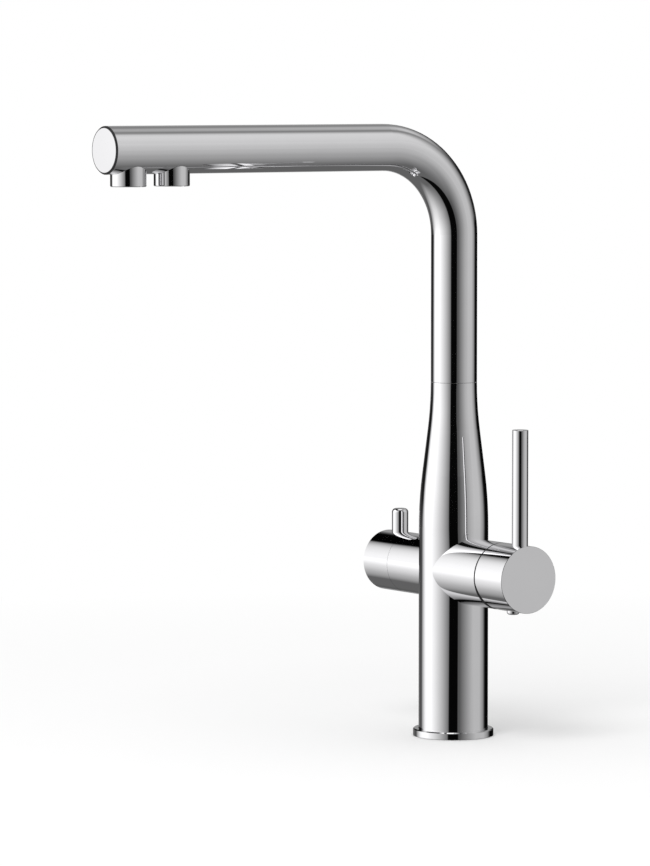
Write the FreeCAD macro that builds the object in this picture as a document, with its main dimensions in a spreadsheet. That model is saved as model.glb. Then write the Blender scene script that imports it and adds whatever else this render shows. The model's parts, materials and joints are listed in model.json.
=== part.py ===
"""Three-way kitchen mixer tap, in millimetres.

The origin is on the tap's axis at the deck, +Z is up, the spout points along -Y,
the mixer handle along +X and the filter knob along -X.
"""
import FreeCAD
import Part
import os
import re
import Sketcher

Vector = FreeCAD.Vector

# Driving sizes
SIZES = {
    # Fits
    "fit_gap": 0.1,
    "shaft_gap": 0.05,
    "cut_margin": 1.0,
    # Base
    "flange_width": 3.4,
    "flange_thickness": 4.3,
    "flange_chamfer": 0.6,
    "flange_lip": 1.5,
    "gasket_inset": 2.7,
    "gasket_width": 2.6,
    "gasket_thickness": 1.2,
    # Body casting
    "body_diameter": 42.2,
    "body_wall": 2.6,
    "handle_height": 101.3,
    "web_floor": 6.9,
    "web_roof": 7.3,
    "upper_cavity_step": 2.5,
    "upper_cavity_height": 24.0,
    "shoulder_height": 127.5,
    "shoulder_share": 0.53,
    "neck_straight": 27.7,
    "neck_height": 215.1,
    "neck_wall": 3.4,
    # Inlets
    "inlet_pitch_radius": 10.0,
    "inlet_tap_bore": 9.0,
    "inlet_depth": 10.0,
    "stud_tap_bore": 6.8,
    "stud_depth": 12.0,
    "block_height": 18.0,
    "feed_pipe_diameter": 10.0,
    "feed_pipe_wall": 1.2,
    "socket_depth": 5.0,
    # Filter riser
    "riser_diameter": 8.0,
    "riser_wall": 1.0,
    "riser_bend": 24.0,
    "riser_straight": 4.0,
    "riser_overlap": 8.0,
    # Spout swivel
    "swivel_seam": 0.2,
    "sleeve_wall": 2.4,
    "sleeve_length": 36.0,
    "spigot_water_gap": 1.2,
    "spigot_thread_length": 18.0,
    "spigot_shoulder_drop": 2.2,
    "spigot_rise": 36.6,
    "swivel_ring_section": 1.9,
    "lower_ring_rise": 8.6,
    "upper_ring_rise": 27.6,
    "retainer_rise": 18.1,
    "retainer_groove_width": 5.4,
    "retainer_groove_depth": 1.6,
    "retainer_screw_diameter": 5.0,
    "retainer_sink": 0.4,
    "glide_inset": 1.4,
    "glide_seat_depth": 1.2,
    # Spout
    "tube_diameter": 28.0,
    "tube_wall": 1.5,
    "spout_rise": 142.1,
    "spout_reach": 247.7,
    "bend_radius": 53.0,
    "cap_thickness": 2.0,
    "cap_edge": 0.75,
    "cap_edge_depth": 0.92,
    "cap_gap_width": 0.45,
    "cap_gap_depth": 0.8,
    "cap_plug_length": 4.2,
    "cap_plug_gap": 0.7,
    "cap_ring_section": 1.8,
    # Outlets
    "outlet_diameter": 21.0,
    "outlet_wall": 1.6,
    "outlet_spacing_gap": 8.6,
    "outlet_drop": 7.1,
    "outlet_chamfer": 0.4,
    "outlet_neck_wall": 0.5,
    "outlet_neck_rise": 4.2,
    "outlet_lip_width": 1.9,
    "outlet_lip_thickness": 1.5,
    "aerator_sink": 0.6,
    "aerator_wall": 1.4,
    "aerator_gasket_thickness": 1.2,
    "screen_sink": 1.2,
    "screen_thickness": 1.2,
    "screen_hole": 1.3,
    "screen_rim": 1.25,
    # Filter line in the spout
    "fitting_diameter": 12.4,
    "fitting_gap": 2.0,
    "fitting_floor": 2.5,
    "fitting_ring_section": 1.3,
    "fitting_ring_rise": 4.0,
    "nipple_length": 10.0,
    "nipple_wall": 0.8,
    "filter_tube_diameter": 8.0,
    "filter_tube_wall": 1.3,
    "elbow_diameter": 12.0,
    "elbow_bore": 5.0,
    "elbow_socket_wall": 1.4,
    "elbow_socket_depth": 10.0,
    "elbow_foot_thickness": 1.5,
    # Mixer cartridge
    "cartridge_seat": 9.0,
    "cartridge_diameter": 34.8,
    "cartridge_length": 32.0,
    "cartridge_wall": 2.0,
    "cartridge_roof": 3.0,
    "cartridge_mouth": 21.0,
    "base_thickness": 4.0,
    "port_bore": 6.8,
    "port_drop": 5.0,
    "mixed_port_rise": 8.0,
    "port_seal_section": 1.4,
    "fixed_disc_thickness": 3.5,
    "moving_disc_thickness": 4.0,
    "disc_margin": 3.4,
    "mixing_recess_diameter": 17.0,
    "mixing_recess_depth": 1.8,
    "slider_length": 18.0,
    "slider_width": 14.0,
    "slider_thickness": 4.1,
    "pivot_pin_diameter": 4.0,
    "pivot_pin_inset": 1.4,
    "stem_width": 8.0,
    "stem_tip_diameter": 5.8,
    "stem_tip_gap": 0.15,
    "stem_tip_arm": 5.4,
    "stem_waist": 4.6,
    "stem_flare": 2.5,
    "stem_end_gap": 1.0,
    "carrier_slot_length": 20.8,
    "nut_step": 1.0,
    "nut_thickness": 5.5,
    "nut_bore": 27.0,
    # Mixer handle
    "boss_wall": 1.75,
    "seam_rise": 2.6,
    "seam_gap": 1.2,
    "rim_slant_start": 0.5,
    "rim_slant_depth": 3.6,
    "handle_length": 27.1,
    "handle_chamfer": 0.2,
    "handle_wall": 2.6,
    "handle_cavity_depth": 7.9,
    "handle_end_wall": 5.7,
    "lever_setback": 8.7,
    "lever_diameter": 9.6,
    "lever_top": 88.9,
    "lever_chamfer": 0.2,
    "lever_stub_gap": 3.0,
    "lever_stub_diameter": 5.0,
    "lever_stub_length": 7.5,
    "clamp_screw_setback": 3.9,
    "clamp_screw_diameter": 5.0,
    "clamp_screw_length": 9.0,
    "screw_key_width": 2.5,
    "screw_key_depth": 2.5,
    "plug_diameter": 7.6,
    "plug_depth": 3.0,
    "plug_rise": 1.9,
    "plug_edge": 1.5,
    # Filter valve
    "valve_seat": 15.0,
    "valve_diameter": 24.0,
    "valve_wall": 2.7,
    "valve_length": 23.0,
    "valve_flange_width": 2.0,
    "valve_flange_thickness": 4.5,
    "valve_chamber_depth": 9.0,
    "valve_port_bore": 5.2,
    "valve_port_offset": 5.2,
    "seat_seal_thickness": 2.0,
    "valve_disc_thickness": 2.5,
    "valve_slot_width": 3.6,
    "valve_slot_length": 14.6,
    "valve_slot_depth": 1.2,
    "spindle_diameter": 8.0,
    "spindle_head_thickness": 3.4,
    "spindle_ring_depth": 7.0,
    "spindle_ring_section": 1.5,
    "clip_diameter": 12.0,
    "clip_thickness": 0.8,
    "clip_groove_depth": 0.7,
    # Filter knob
    "filter_diameter": 36.9,
    "filter_seam_rise": 4.15,
    "filter_seam_gap": 0.15,
    "knob_length": 25.65,
    "knob_chamfer": 0.5,
    "knob_wall": 2.95,
    "knob_cavity_depth": 5.85,
    "knob_end_wall": 9.8,
    "pin_setback": 13.4,
    "pin_diameter": 10.1,
    "pin_top": 32.8,
    "pin_edge": 2.4,
    "pin_stub_gap": 2.0,
    "pin_stub_diameter": 5.0,
    "pin_stub_length": 5.0,
    "knob_screw_diameter": 4.0,
    "knob_screw_length": 8.0,
    "knob_key_width": 2.0,
}

document = FreeCAD.newDocument("kitchen_mixer_tap")
sheet = document.addObject("Spreadsheet::Sheet", "dims")
pieces = []

for row, (alias, size) in enumerate(SIZES.items(), 1):
    sheet.set(f"A{row}", alias.replace("_", " "))
    sheet.set(f"B{row}", str(size))
    sheet.setAlias(f"B{row}", alias)
document.recompute()

# Directions that a piece's own +Z can take in the tap
UPRIGHT = FreeCAD.Rotation()
DOWNWARD = FreeCAD.Rotation(Vector(1, 0, 0), Vector(0, -1, 0), Vector(0, 0, -1))
FORWARD = FreeCAD.Rotation(Vector(1, 0, 0), Vector(0, 0, 1), Vector(0, -1, 0))
BACKWARD = FreeCAD.Rotation(Vector(1, 0, 0), Vector(0, 0, -1), Vector(0, 1, 0))
MIXER_SIDE = FreeCAD.Rotation(Vector(0, 0, 1), Vector(0, -1, 0), Vector(1, 0, 0))
FILTER_SIDE = FreeCAD.Rotation(Vector(0, 0, 1), Vector(0, 1, 0), Vector(-1, 0, 0))

# Formulas that several pieces share
BODY_RADIUS = "(body_diameter / 2)"
CAVITY_RADIUS = f"({BODY_RADIUS} - body_wall)"
BODY_FOOT = "(flange_lip + gasket_thickness)"
FLANGE_RADIUS = f"({BODY_RADIUS} + flange_width)"
GASKET_RADIUS = f"({FLANGE_RADIUS} - gasket_inset)"
GASKET_BORE_RADIUS = f"({GASKET_RADIUS} - gasket_width)"
WEB_BOTTOM = "(handle_height - cartridge_diameter / 2 - web_floor)"
WEB_TOP = "(handle_height + cartridge_diameter / 2 + web_roof)"
SIDE_PITCH = "(inlet_pitch_radius * sqrt(3) / 2)"
PIPE_BORE_RADIUS = "(feed_pipe_diameter / 2 - feed_pipe_wall)"
RISER_BORE_RADIUS = "(riser_diameter / 2 - riser_wall)"
FILTER_BORE_RADIUS = "(filter_tube_diameter / 2 - filter_tube_wall)"
TUBE_RADIUS = "(tube_diameter / 2)"
TUBE_BORE_RADIUS = f"({TUBE_RADIUS} - tube_wall)"
NECK_BORE_RADIUS = f"({TUBE_RADIUS} - neck_wall)"
GLIDE_RADIUS = f"({TUBE_RADIUS} - glide_inset)"
SLEEVE_RADIUS = f"({TUBE_BORE_RADIUS} - shaft_gap)"
SLEEVE_BORE_RADIUS = f"({SLEEVE_RADIUS} - sleeve_wall)"
JOURNAL_RADIUS = f"({SLEEVE_BORE_RADIUS} - shaft_gap)"
RING_GROOVE_RADIUS = f"({JOURNAL_RADIUS} - swivel_ring_section)"
RETAINER_GROOVE_RADIUS = f"({JOURNAL_RADIUS} - retainer_groove_depth)"
SPIGOT_BORE_RADIUS = "(riser_diameter / 2 + spigot_water_gap)"
SPOUT_FOOT = "(neck_height + swivel_seam)"
SPOUT_AXIS = f"({SPOUT_FOOT} + spout_rise)"
BEND_FOOT = f"({SPOUT_AXIS} - bend_radius)"
LOWER_RING = f"({SPOUT_FOOT} + lower_ring_rise)"
RETAINER = f"({SPOUT_FOOT} + retainer_rise)"
UPPER_RING = f"({SPOUT_FOOT} + upper_ring_rise)"
SPIGOT_TOP = f"({SPOUT_FOOT} + spigot_rise)"
FITTING_FOOT = f"({SPIGOT_TOP} + fitting_gap)"
FITTING_RING = f"({FITTING_FOOT} + fitting_ring_rise)"
RISER_TOP = f"({FITTING_FOOT} + riser_overlap)"
FITTING_ROOF = f"({RISER_TOP} + fit_gap + fitting_floor)"
OUTLET_RADIUS = "(outlet_diameter / 2)"
OUTLET_BORE_RADIUS = f"({OUTLET_RADIUS} - outlet_wall)"
OUTLET_NECK_RADIUS = f"({OUTLET_BORE_RADIUS} + outlet_neck_wall)"
OUTLET_LIP_RADIUS = f"({OUTLET_BORE_RADIUS} - outlet_lip_width)"
OUTLET_BOTTOM = f"({SPOUT_AXIS} - {TUBE_RADIUS} - outlet_drop)"
OUTLET_TOP = f"({SPOUT_AXIS} - {TUBE_RADIUS} + outlet_neck_rise)"
OUTLET_LIP = f"({OUTLET_TOP} - outlet_lip_thickness)"
CAP_BACK = "(spout_reach - cap_thickness)"
MAIN_REACH = f"({CAP_BACK} - cap_plug_length - cap_plug_gap - {OUTLET_NECK_RADIUS})"
FILTER_REACH = f"({MAIN_REACH} - outlet_diameter - outlet_spacing_gap)"
BASE_TOP = "(cartridge_seat + base_thickness)"
FIXED_DISC_TOP = f"({BASE_TOP} + fixed_disc_thickness)"
MOVING_DISC_FOOT = f"({FIXED_DISC_TOP} + shaft_gap)"
MOVING_DISC_TOP = f"({MOVING_DISC_FOOT} + moving_disc_thickness)"
SLIDER_TOP = f"({MOVING_DISC_TOP} + slider_thickness)"
TIP_CENTRE = f"({MOVING_DISC_TOP} + stem_tip_gap + stem_tip_diameter / 2)"
PIVOT = f"({TIP_CENTRE} + stem_tip_arm)"
CARTRIDGE_TOP = "(cartridge_seat + cartridge_length)"
CARTRIDGE_BORE_RADIUS = "(cartridge_diameter / 2 - cartridge_wall)"
NUT_RADIUS = "(cartridge_diameter / 2 + nut_step)"
NUT_POCKET_RADIUS = f"({NUT_RADIUS} + shaft_gap)"
MIXER_RADIUS = f"({NUT_RADIUS} + boss_wall)"
MIXER_SEAM = f"({CARTRIDGE_TOP} + nut_thickness + seam_rise)"
BOSS_EDGE = f"({MIXER_SEAM} - seam_gap / 2)"
BOSS_SPHERE = f"sqrt(({BOSS_EDGE} - {PIVOT})^2 + {MIXER_RADIUS}^2)"
HANDLE_EDGE = f"({MIXER_SEAM} + seam_gap / 2)"
HANDLE_SPHERE = f"sqrt(({HANDLE_EDGE} - {PIVOT})^2 + {MIXER_RADIUS}^2)"
HANDLE_CAVITY_RADIUS = f"({MIXER_RADIUS} - handle_wall)"
HANDLE_FLOOR = f"({MIXER_SEAM} + handle_cavity_depth)"
HANDLE_END = f"({MIXER_SEAM} + handle_length)"
STEM_END = f"({HANDLE_END} - handle_end_wall - stem_end_gap)"
LEVER_POSITION = f"({HANDLE_END} - lever_setback)"
LEVER_SEAT = "(stem_width / 2 + lever_stub_gap + lever_stub_length)"
CLAMP_POSITION = f"({HANDLE_FLOOR} + clamp_screw_setback)"
FILTER_RADIUS = "(filter_diameter / 2)"
VALVE_RADIUS = "(valve_diameter / 2)"
VALVE_FLANGE_RADIUS = f"({VALVE_RADIUS} + valve_flange_width)"
VALVE_CHAMBER_RADIUS = f"({VALVE_RADIUS} - valve_wall)"
SEAL_TOP = "(valve_seat + seat_seal_thickness)"
VALVE_TOP = f"({SEAL_TOP} + valve_length)"
VALVE_DISC_TOP = f"({SEAL_TOP} + valve_disc_thickness)"
TURN_DISC_FOOT = f"({VALVE_DISC_TOP} + shaft_gap)"
TURN_DISC_TOP = f"({TURN_DISC_FOOT} + valve_disc_thickness)"
SPINDLE_HEAD_TOP = f"({TURN_DISC_TOP} + spindle_head_thickness)"
SPINDLE_RING = f"({VALVE_TOP} - spindle_ring_depth)"
FILTER_SEAM = f"({VALVE_TOP} + filter_seam_rise)"
FILTER_BOSS_EDGE = f"({FILTER_SEAM} - filter_seam_gap / 2)"
KNOB_EDGE = f"({FILTER_SEAM} + filter_seam_gap / 2)"
KNOB_CAVITY_RADIUS = f"({FILTER_RADIUS} - knob_wall)"
KNOB_FLOOR = f"({FILTER_SEAM} + knob_cavity_depth)"
KNOB_END = f"({FILTER_SEAM} + knob_length)"
SPINDLE_END = f"({KNOB_END} - knob_end_wall)"
PIN_POSITION = f"({KNOB_END} - pin_setback)"
PIN_SEAT = "(spindle_diameter / 2 + pin_stub_gap + pin_stub_length)"

# Inlets, by the water that they carry
INLETS = {
    "hot": ("inlet_pitch_radius / 2", SIDE_PITCH),
    "cold": ("inlet_pitch_radius / 2", f"-{SIDE_PITCH}"),
    "filter": ("-inlet_pitch_radius", "0"),
}


def formula(text):
    """Turn the size names in a formula into references to the sheet."""
    return re.sub(r"[a-z]+(?:_[a-z]+)+", lambda word: f"dims.{word.group()}", text)


def number(text):
    """Work a formula out with the sheet's present sizes."""
    return FreeCAD.Units.Quantity(sheet.evalExpression(formula(text))).Value


def bind(target, path, text):
    """Tie a property of an object to a formula."""
    target.setExpression(path, formula(text))


def new_body(label, direction=UPRIGHT, place=("0", "0", "0")):
    """Start a piece whose own +Z points in a direction of the tap."""
    body = document.addObject("PartDesign::Body", label)
    body.Label = label
    set_place(body, direction, place)
    pieces.append(body)
    return body


def set_place(piece, direction, place):
    """Turn a piece and tie its place to formulas."""
    piece.Placement = FreeCAD.Placement(Vector(), direction)
    for axis, text in zip("xyz", place):
        bind(piece, f".Placement.Base.{axis}", text)


def new_sketch(body, plane, shift=("0", "0", "0")):
    """Start a sketch on one of a body's own planes, moved by formulas in the sketch's axes."""
    sketch = body.newObject("Sketcher::SketchObject", f"{body.Label}_sketch")
    support = next(item for item in body.Origin.OriginFeatures if item.Role == f"{plane}_Plane")
    sketch.AttachmentSupport = [(support, "")]
    sketch.MapMode = "FlatFace"
    for axis, text in zip("xyz", shift):
        bind(sketch, f".AttachmentOffset.Base.{axis}", text)
    return sketch


def hold(sketch, kind, along, point, text):
    """Hold one coordinate of a sketch point at a formula."""
    geometry, end = point
    if text == "0":
        axis = -2 if along == "X" else -1
        sketch.addConstraint(Sketcher.Constraint("PointOnObject", geometry, end, axis))
        return
    size = number(text)
    if size < 0:
        rule = Sketcher.Constraint(kind + along, geometry, end, -1, 1, -size)
        text = f"-({text})"
    else:
        rule = Sketcher.Constraint(kind + along, -1, 1, geometry, end, size)
    index = sketch.addConstraint(rule)
    bind(sketch, f"Constraints[{index}]", text)


def arc_middle(start, end, radius, turn):
    """Middle point of the smaller arc between two points, bulging away from its turn."""
    chord = end - start
    half = chord.Length / 2
    rise = radius - (radius ** 2 - half ** 2) ** 0.5
    side = Vector(chord.y, -chord.x, 0).normalize()
    return (start + end) / 2 + side * rise * turn


def draw_outline(sketch, corners, closed=True):
    """Draw straight runs and arcs through corners.

    A corner is a pair of formulas, and a third and fourth entry make the run that leads to it
    an arc of that radius, turning left (1) or right (-1).
    """
    points = [Vector(number(corner[0]), number(corner[1]), 0) for corner in corners]
    count = len(corners)
    runs = []
    for index in range(1, count + 1 if closed else count):
        corner = corners[index % count]
        start = points[index - 1]
        end = points[index % count]
        if len(corner) == 2:
            run = sketch.addGeometry(Part.LineSegment(start, end), False)
            runs.append((run, 1, 2))
            continue
        middle = arc_middle(start, end, number(corner[2]), corner[3])
        run = sketch.addGeometry(Part.Arc(start, middle, end), False)
        bind_index = sketch.addConstraint(Sketcher.Constraint("Radius", run, number(corner[2])))
        bind(sketch, f"Constraints[{bind_index}]", corner[2])
        straight = (sketch.getPoint(run, 1) - start).Length < (sketch.getPoint(run, 2) - start).Length
        runs.append((run, 1, 2) if straight else (run, 2, 1))
    for index in range(len(runs) if closed else len(runs) - 1):
        ahead = runs[(index + 1) % len(runs)]
        rule = Sketcher.Constraint("Coincident", runs[index][0], runs[index][2], ahead[0], ahead[1])
        sketch.addConstraint(rule)
    for index, corner in enumerate(corners):
        run = runs[index] if index < len(runs) else runs[-1]
        end = run[1] if index < len(runs) else run[2]
        hold(sketch, "Distance", "X", (run[0], end), corner[0])
        hold(sketch, "Distance", "Y", (run[0], end), corner[1])
    return sketch


def draw_circles(sketch, circles):
    """Draw circles, each given by the formulas of its centre and radius."""
    for across, up, radius in circles:
        centre = Vector(number(across), number(up), 0)
        circle = sketch.addGeometry(Part.Circle(centre, Vector(0, 0, 1), number(radius)), False)
        hold(sketch, "Distance", "X", (circle, 3), across)
        hold(sketch, "Distance", "Y", (circle, 3), up)
        index = sketch.addConstraint(Sketcher.Constraint("Radius", circle, number(radius)))
        bind(sketch, f"Constraints[{index}]", radius)
    return sketch


def block_outline(half_across, half_along):
    """Corners of a rectangle that is centred on its sketch."""
    return [
        (f"-({half_across})", f"-({half_along})"),
        (half_across, f"-({half_along})"),
        (half_across, half_along),
        (f"-({half_across})", half_along),
    ]


def turned(body, corners, cut=False, plane="XZ", axis="V_Axis", axis_height="0"):
    """Turn an outline about the body's own axis, or about a level axis at a height."""
    sketch = draw_outline(new_sketch(body, plane, ("0", axis_height, "0")), corners)
    kind = "PartDesign::Groove" if cut else "PartDesign::Revolution"
    feature = body.newObject(kind, f"{body.Label}_turned")
    feature.Profile = sketch
    feature.ReferenceAxis = (sketch, [axis])
    feature.Angle = 360
    return feature


def extruded(body, sketch, length, cut=False, back=False, both=False):
    """Pad or pocket a sketch along its normal, against it, or half each way."""
    kind = "PartDesign::Pocket" if cut else "PartDesign::Pad"
    feature = body.newObject(kind, f"{body.Label}_extruded")
    feature.Profile = sketch
    bind(feature, "Length", length)
    if both:
        feature.SideType = "Symmetric"
    else:
        feature.Reversed = cut != back
    return feature


def drilled(body, plane, start, circles, depth, back=False):
    """Cut round holes from a level of one of the body's planes."""
    sketch = draw_circles(new_sketch(body, plane, ("0", "0", start)), circles)
    return extruded(body, sketch, depth, cut=True, back=back)


def swept_tube(body, start, outer, inner, route, offset=("0", "0")):
    """Sweep a ring along a route in the YZ or XZ plane."""
    plane, corners = route
    spine = draw_outline(new_sketch(body, plane), corners, closed=False)
    ring = draw_circles(
        new_sketch(body, "XY", ("0", "0", start)),
        [(offset[0], offset[1], outer), (offset[0], offset[1], inner)],
    )
    pipe = body.newObject("PartDesign::AdditivePipe", f"{body.Label}_pipe")
    pipe.Profile = ring
    pipe.Spine = (spine, [f"Edge{index}" for index in range(1, len(corners))])
    return pipe


def ring_of_holes(body, start, reach, hole, depth, count):
    """Cut a ring of equal round holes about the body's axis."""
    first = drilled(body, "XY", start, [(reach, "0", hole)], depth)
    pattern = body.newObject("PartDesign::PolarPattern", f"{body.Label}_pattern")
    pattern.Originals = [first]
    axis = next(item for item in body.Origin.OriginFeatures if item.Role == "Z_Axis")
    pattern.Axis = (axis, [""])
    pattern.Angle = 360
    pattern.Occurrences = count
    body.Tip = pattern
    return pattern


def rubber_rings(label, ring_places, middle, section, direction=UPRIGHT):
    """One or more equal rubber rings in one node."""
    rings = []
    for place in ring_places:
        ring = document.addObject("Part::Torus", f"{label}_ring")
        bind(ring, "Radius1", middle)
        bind(ring, "Radius2", section)
        set_place(ring, direction, place)
        rings.append(ring)
    if len(rings) == 1:
        rings[0].Label = label
        pieces.append(rings[0])
        return
    group = document.addObject("Part::Compound", label)
    group.Label = label
    group.Links = rings
    pieces.append(group)


def hex_socket(body, face, width, depth):
    """Cut a hexagon key socket into the outer end of a screw."""
    half = f"{width} / 2"
    corner = f"{width} / sqrt(3)"
    corners = [
        (corner, "0"),
        (f"{corner} / 2", half),
        (f"-{corner} / 2", half),
        (f"-{corner}", "0"),
        (f"-{corner} / 2", f"-{half}"),
        (f"{corner} / 2", f"-{half}"),
    ]
    sketch = draw_outline(new_sketch(body, "XY", ("0", "0", face)), corners)
    extruded(body, sketch, depth, cut=True, back=True)


# Base: flange, its gasket and the block that takes the hoses and the fixing stud
flange = new_body("base_flange")
turned(flange, [
    (CAVITY_RADIUS, "0"),
    (f"{GASKET_BORE_RADIUS} - fit_gap", "0"),
    (f"{GASKET_BORE_RADIUS} - fit_gap", "gasket_thickness"),
    (f"{GASKET_RADIUS} + fit_gap", "gasket_thickness"),
    (f"{GASKET_RADIUS} + fit_gap", "0"),
    (FLANGE_RADIUS, "0"),
    (FLANGE_RADIUS, "flange_thickness - flange_chamfer"),
    (f"{FLANGE_RADIUS} - flange_chamfer", "flange_thickness"),
    (f"{BODY_RADIUS} + fit_gap", "flange_thickness"),
    (f"{BODY_RADIUS} + fit_gap", BODY_FOOT),
    (CAVITY_RADIUS, BODY_FOOT),
])

gasket = new_body("base_gasket")
turned(gasket, [
    (GASKET_BORE_RADIUS, "0"),
    (GASKET_RADIUS, "0"),
    (GASKET_RADIUS, "gasket_thickness"),
    (GASKET_BORE_RADIUS, "gasket_thickness"),
])

inlet_block = new_body("inlet_block")
turned(inlet_block, [
    ("0", "0"),
    (f"{CAVITY_RADIUS} - fit_gap", "0"),
    (f"{CAVITY_RADIUS} - fit_gap", "block_height"),
    ("0", "block_height"),
])
drilled(inlet_block, "XY", "0", [("0", "0", "stud_tap_bore / 2")], "stud_depth")
drilled(
    inlet_block, "XY", "0",
    [(across, along, "inlet_tap_bore / 2") for across, along in INLETS.values()],
    "inlet_depth",
)
drilled(
    inlet_block, "XY", "0",
    [(across, along, PIPE_BORE_RADIUS) for across, along in INLETS.values()],
    "block_height",
)
drilled(
    inlet_block, "XY", "block_height - socket_depth",
    [(across, along, "feed_pipe_diameter / 2 + fit_gap") for across, along in INLETS.values()],
    "socket_depth",
)

for water, (across, along) in INLETS.items():
    pipe = new_body(f"{water}_feed_pipe", place=(across, along, "0"))
    turned(pipe, [
        (PIPE_BORE_RADIUS, "block_height - socket_depth"),
        ("feed_pipe_diameter / 2", "block_height - socket_depth"),
        ("feed_pipe_diameter / 2", f"{WEB_BOTTOM} + socket_depth"),
        (PIPE_BORE_RADIUS, f"{WEB_BOTTOM} + socket_depth"),
    ])

# Body: a bottle-shaped casting with a boss each side and a web that carries the water ways
NECK_RISE = "(neck_height - shoulder_height)"
NECK_STEP = "((body_diameter - tube_diameter) / 2)"
NECK_SLOPE = f"({NECK_STEP} / ({NECK_RISE} + neck_straight))"
NECK_SINE = f"(2 * {NECK_SLOPE} / (1 + {NECK_SLOPE}^2))"
NECK_COSINE = f"((1 - {NECK_SLOPE}^2) / (1 + {NECK_SLOPE}^2))"
NECK_ARCS = f"(({NECK_RISE} - neck_straight * {NECK_COSINE}) / {NECK_SINE})"
SHOULDER_ARC = f"({NECK_ARCS} * shoulder_share)"
THROAT_ARC = f"({NECK_ARCS} * (1 - shoulder_share))"

casting = new_body("body_casting")
turned(casting, [
    ("0", BODY_FOOT),
    (BODY_RADIUS, BODY_FOOT),
    (BODY_RADIUS, "shoulder_height"),
    (
        f"{BODY_RADIUS} - {SHOULDER_ARC} * (1 - {NECK_COSINE})",
        f"shoulder_height + {SHOULDER_ARC} * {NECK_SINE}",
        SHOULDER_ARC, 1,
    ),
    (
        f"{TUBE_RADIUS} + {THROAT_ARC} * (1 - {NECK_COSINE})",
        f"neck_height - {THROAT_ARC} * {NECK_SINE}",
    ),
    (TUBE_RADIUS, "neck_height", THROAT_ARC, -1),
    ("0", "neck_height"),
])
turned(casting, [
    ("0", "0"),
    (f"{PIVOT} + {BOSS_SPHERE}", "0"),
    (BOSS_EDGE, MIXER_RADIUS, BOSS_SPHERE, 1),
    ("0", MIXER_RADIUS),
], axis="H_Axis", axis_height="handle_height")
turned(casting, [
    ("0", "0"),
    ("0", FILTER_RADIUS),
    (f"-{FILTER_BOSS_EDGE}", FILTER_RADIUS),
    (f"-{FILTER_BOSS_EDGE}", "0"),
], axis="H_Axis", axis_height="handle_height")
turned(casting, [
    ("0", "0"),
    (CAVITY_RADIUS, "0"),
    (CAVITY_RADIUS, WEB_BOTTOM),
    ("0", WEB_BOTTOM),
], cut=True)
turned(casting, [
    ("0", WEB_TOP),
    (f"{CAVITY_RADIUS} - upper_cavity_step", WEB_TOP),
    (f"{CAVITY_RADIUS} - upper_cavity_step", f"{WEB_TOP} + upper_cavity_height"),
    (NECK_BORE_RADIUS, "neck_height - spigot_shoulder_drop - spigot_thread_length"),
    (NECK_BORE_RADIUS, "neck_height - glide_seat_depth"),
    (f"{GLIDE_RADIUS} + fit_gap", "neck_height - glide_seat_depth"),
    (f"{GLIDE_RADIUS} + fit_gap", "neck_height + cut_margin"),
    ("0", "neck_height + cut_margin"),
], cut=True)
turned(casting, [
    ("cartridge_seat", "0"),
    (f"{PIVOT} + {BOSS_SPHERE} + cut_margin", "0"),
    (f"{PIVOT} + {BOSS_SPHERE} + cut_margin", NUT_POCKET_RADIUS),
    (CARTRIDGE_TOP, NUT_POCKET_RADIUS),
    (CARTRIDGE_TOP, "cartridge_diameter / 2 + fit_gap"),
    ("cartridge_seat", "cartridge_diameter / 2 + fit_gap"),
], cut=True, axis="H_Axis", axis_height="handle_height")
turned(casting, [
    ("-valve_seat", "0"),
    ("-valve_seat", f"{VALVE_RADIUS} + fit_gap"),
    (f"-({VALVE_TOP} - valve_flange_thickness)", f"{VALVE_RADIUS} + fit_gap"),
    (f"-({VALVE_TOP} - valve_flange_thickness)", f"{VALVE_FLANGE_RADIUS} + fit_gap"),
    (f"-({FILTER_SEAM} + cut_margin)", f"{VALVE_FLANGE_RADIUS} + fit_gap"),
    (f"-({FILTER_SEAM} + cut_margin)", "0"),
], cut=True, axis="H_Axis", axis_height="handle_height")

# Water ways: feeds from below, the mixed way and the filter way to the neck
drilled(
    casting, "XY", f"{WEB_BOTTOM} - cut_margin",
    [(*INLETS["hot"], PIPE_BORE_RADIUS), (*INLETS["cold"], PIPE_BORE_RADIUS)],
    f"handle_height - port_drop - {WEB_BOTTOM} + cut_margin",
)
drilled(
    casting, "XY", f"{WEB_BOTTOM} - cut_margin",
    [(*INLETS["filter"], "valve_port_bore / 2")],
    f"handle_height - valve_port_offset - {WEB_BOTTOM} + cut_margin",
)
drilled(
    casting, "XY", f"{WEB_BOTTOM} - cut_margin",
    [(across, along, "feed_pipe_diameter / 2 + fit_gap") for across, along in INLETS.values()],
    "socket_depth + cut_margin",
)
drilled(
    casting, "XY", "handle_height + mixed_port_rise",
    [("inlet_pitch_radius / 2", "0", "port_bore / 2")],
    f"{WEB_TOP} - handle_height - mixed_port_rise + cut_margin",
)
drilled(
    casting, "XY", "handle_height + valve_port_offset",
    [(*INLETS["filter"], "valve_port_bore / 2")],
    f"{WEB_TOP} - handle_height - valve_port_offset + cut_margin",
)
drilled(
    casting, "XY", f"{WEB_TOP} - socket_depth",
    [(*INLETS["filter"], "riser_diameter / 2 + fit_gap")],
    "socket_depth + cut_margin",
)
drilled(
    casting, "YZ", "inlet_pitch_radius / 2",
    [
        (SIDE_PITCH, "handle_height - port_drop", "port_bore / 2"),
        (f"-{SIDE_PITCH}", "handle_height - port_drop", "port_bore / 2"),
        ("0", "handle_height + mixed_port_rise", "port_bore / 2"),
    ],
    "cartridge_seat - inlet_pitch_radius / 2 + cut_margin",
)
drilled(
    casting, "YZ", "-inlet_pitch_radius",
    [
        ("0", "handle_height - valve_port_offset", "valve_port_bore / 2"),
        ("0", "handle_height + valve_port_offset", "valve_port_bore / 2"),
    ],
    "valve_seat - inlet_pitch_radius + cut_margin",
    back=True,
)

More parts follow.
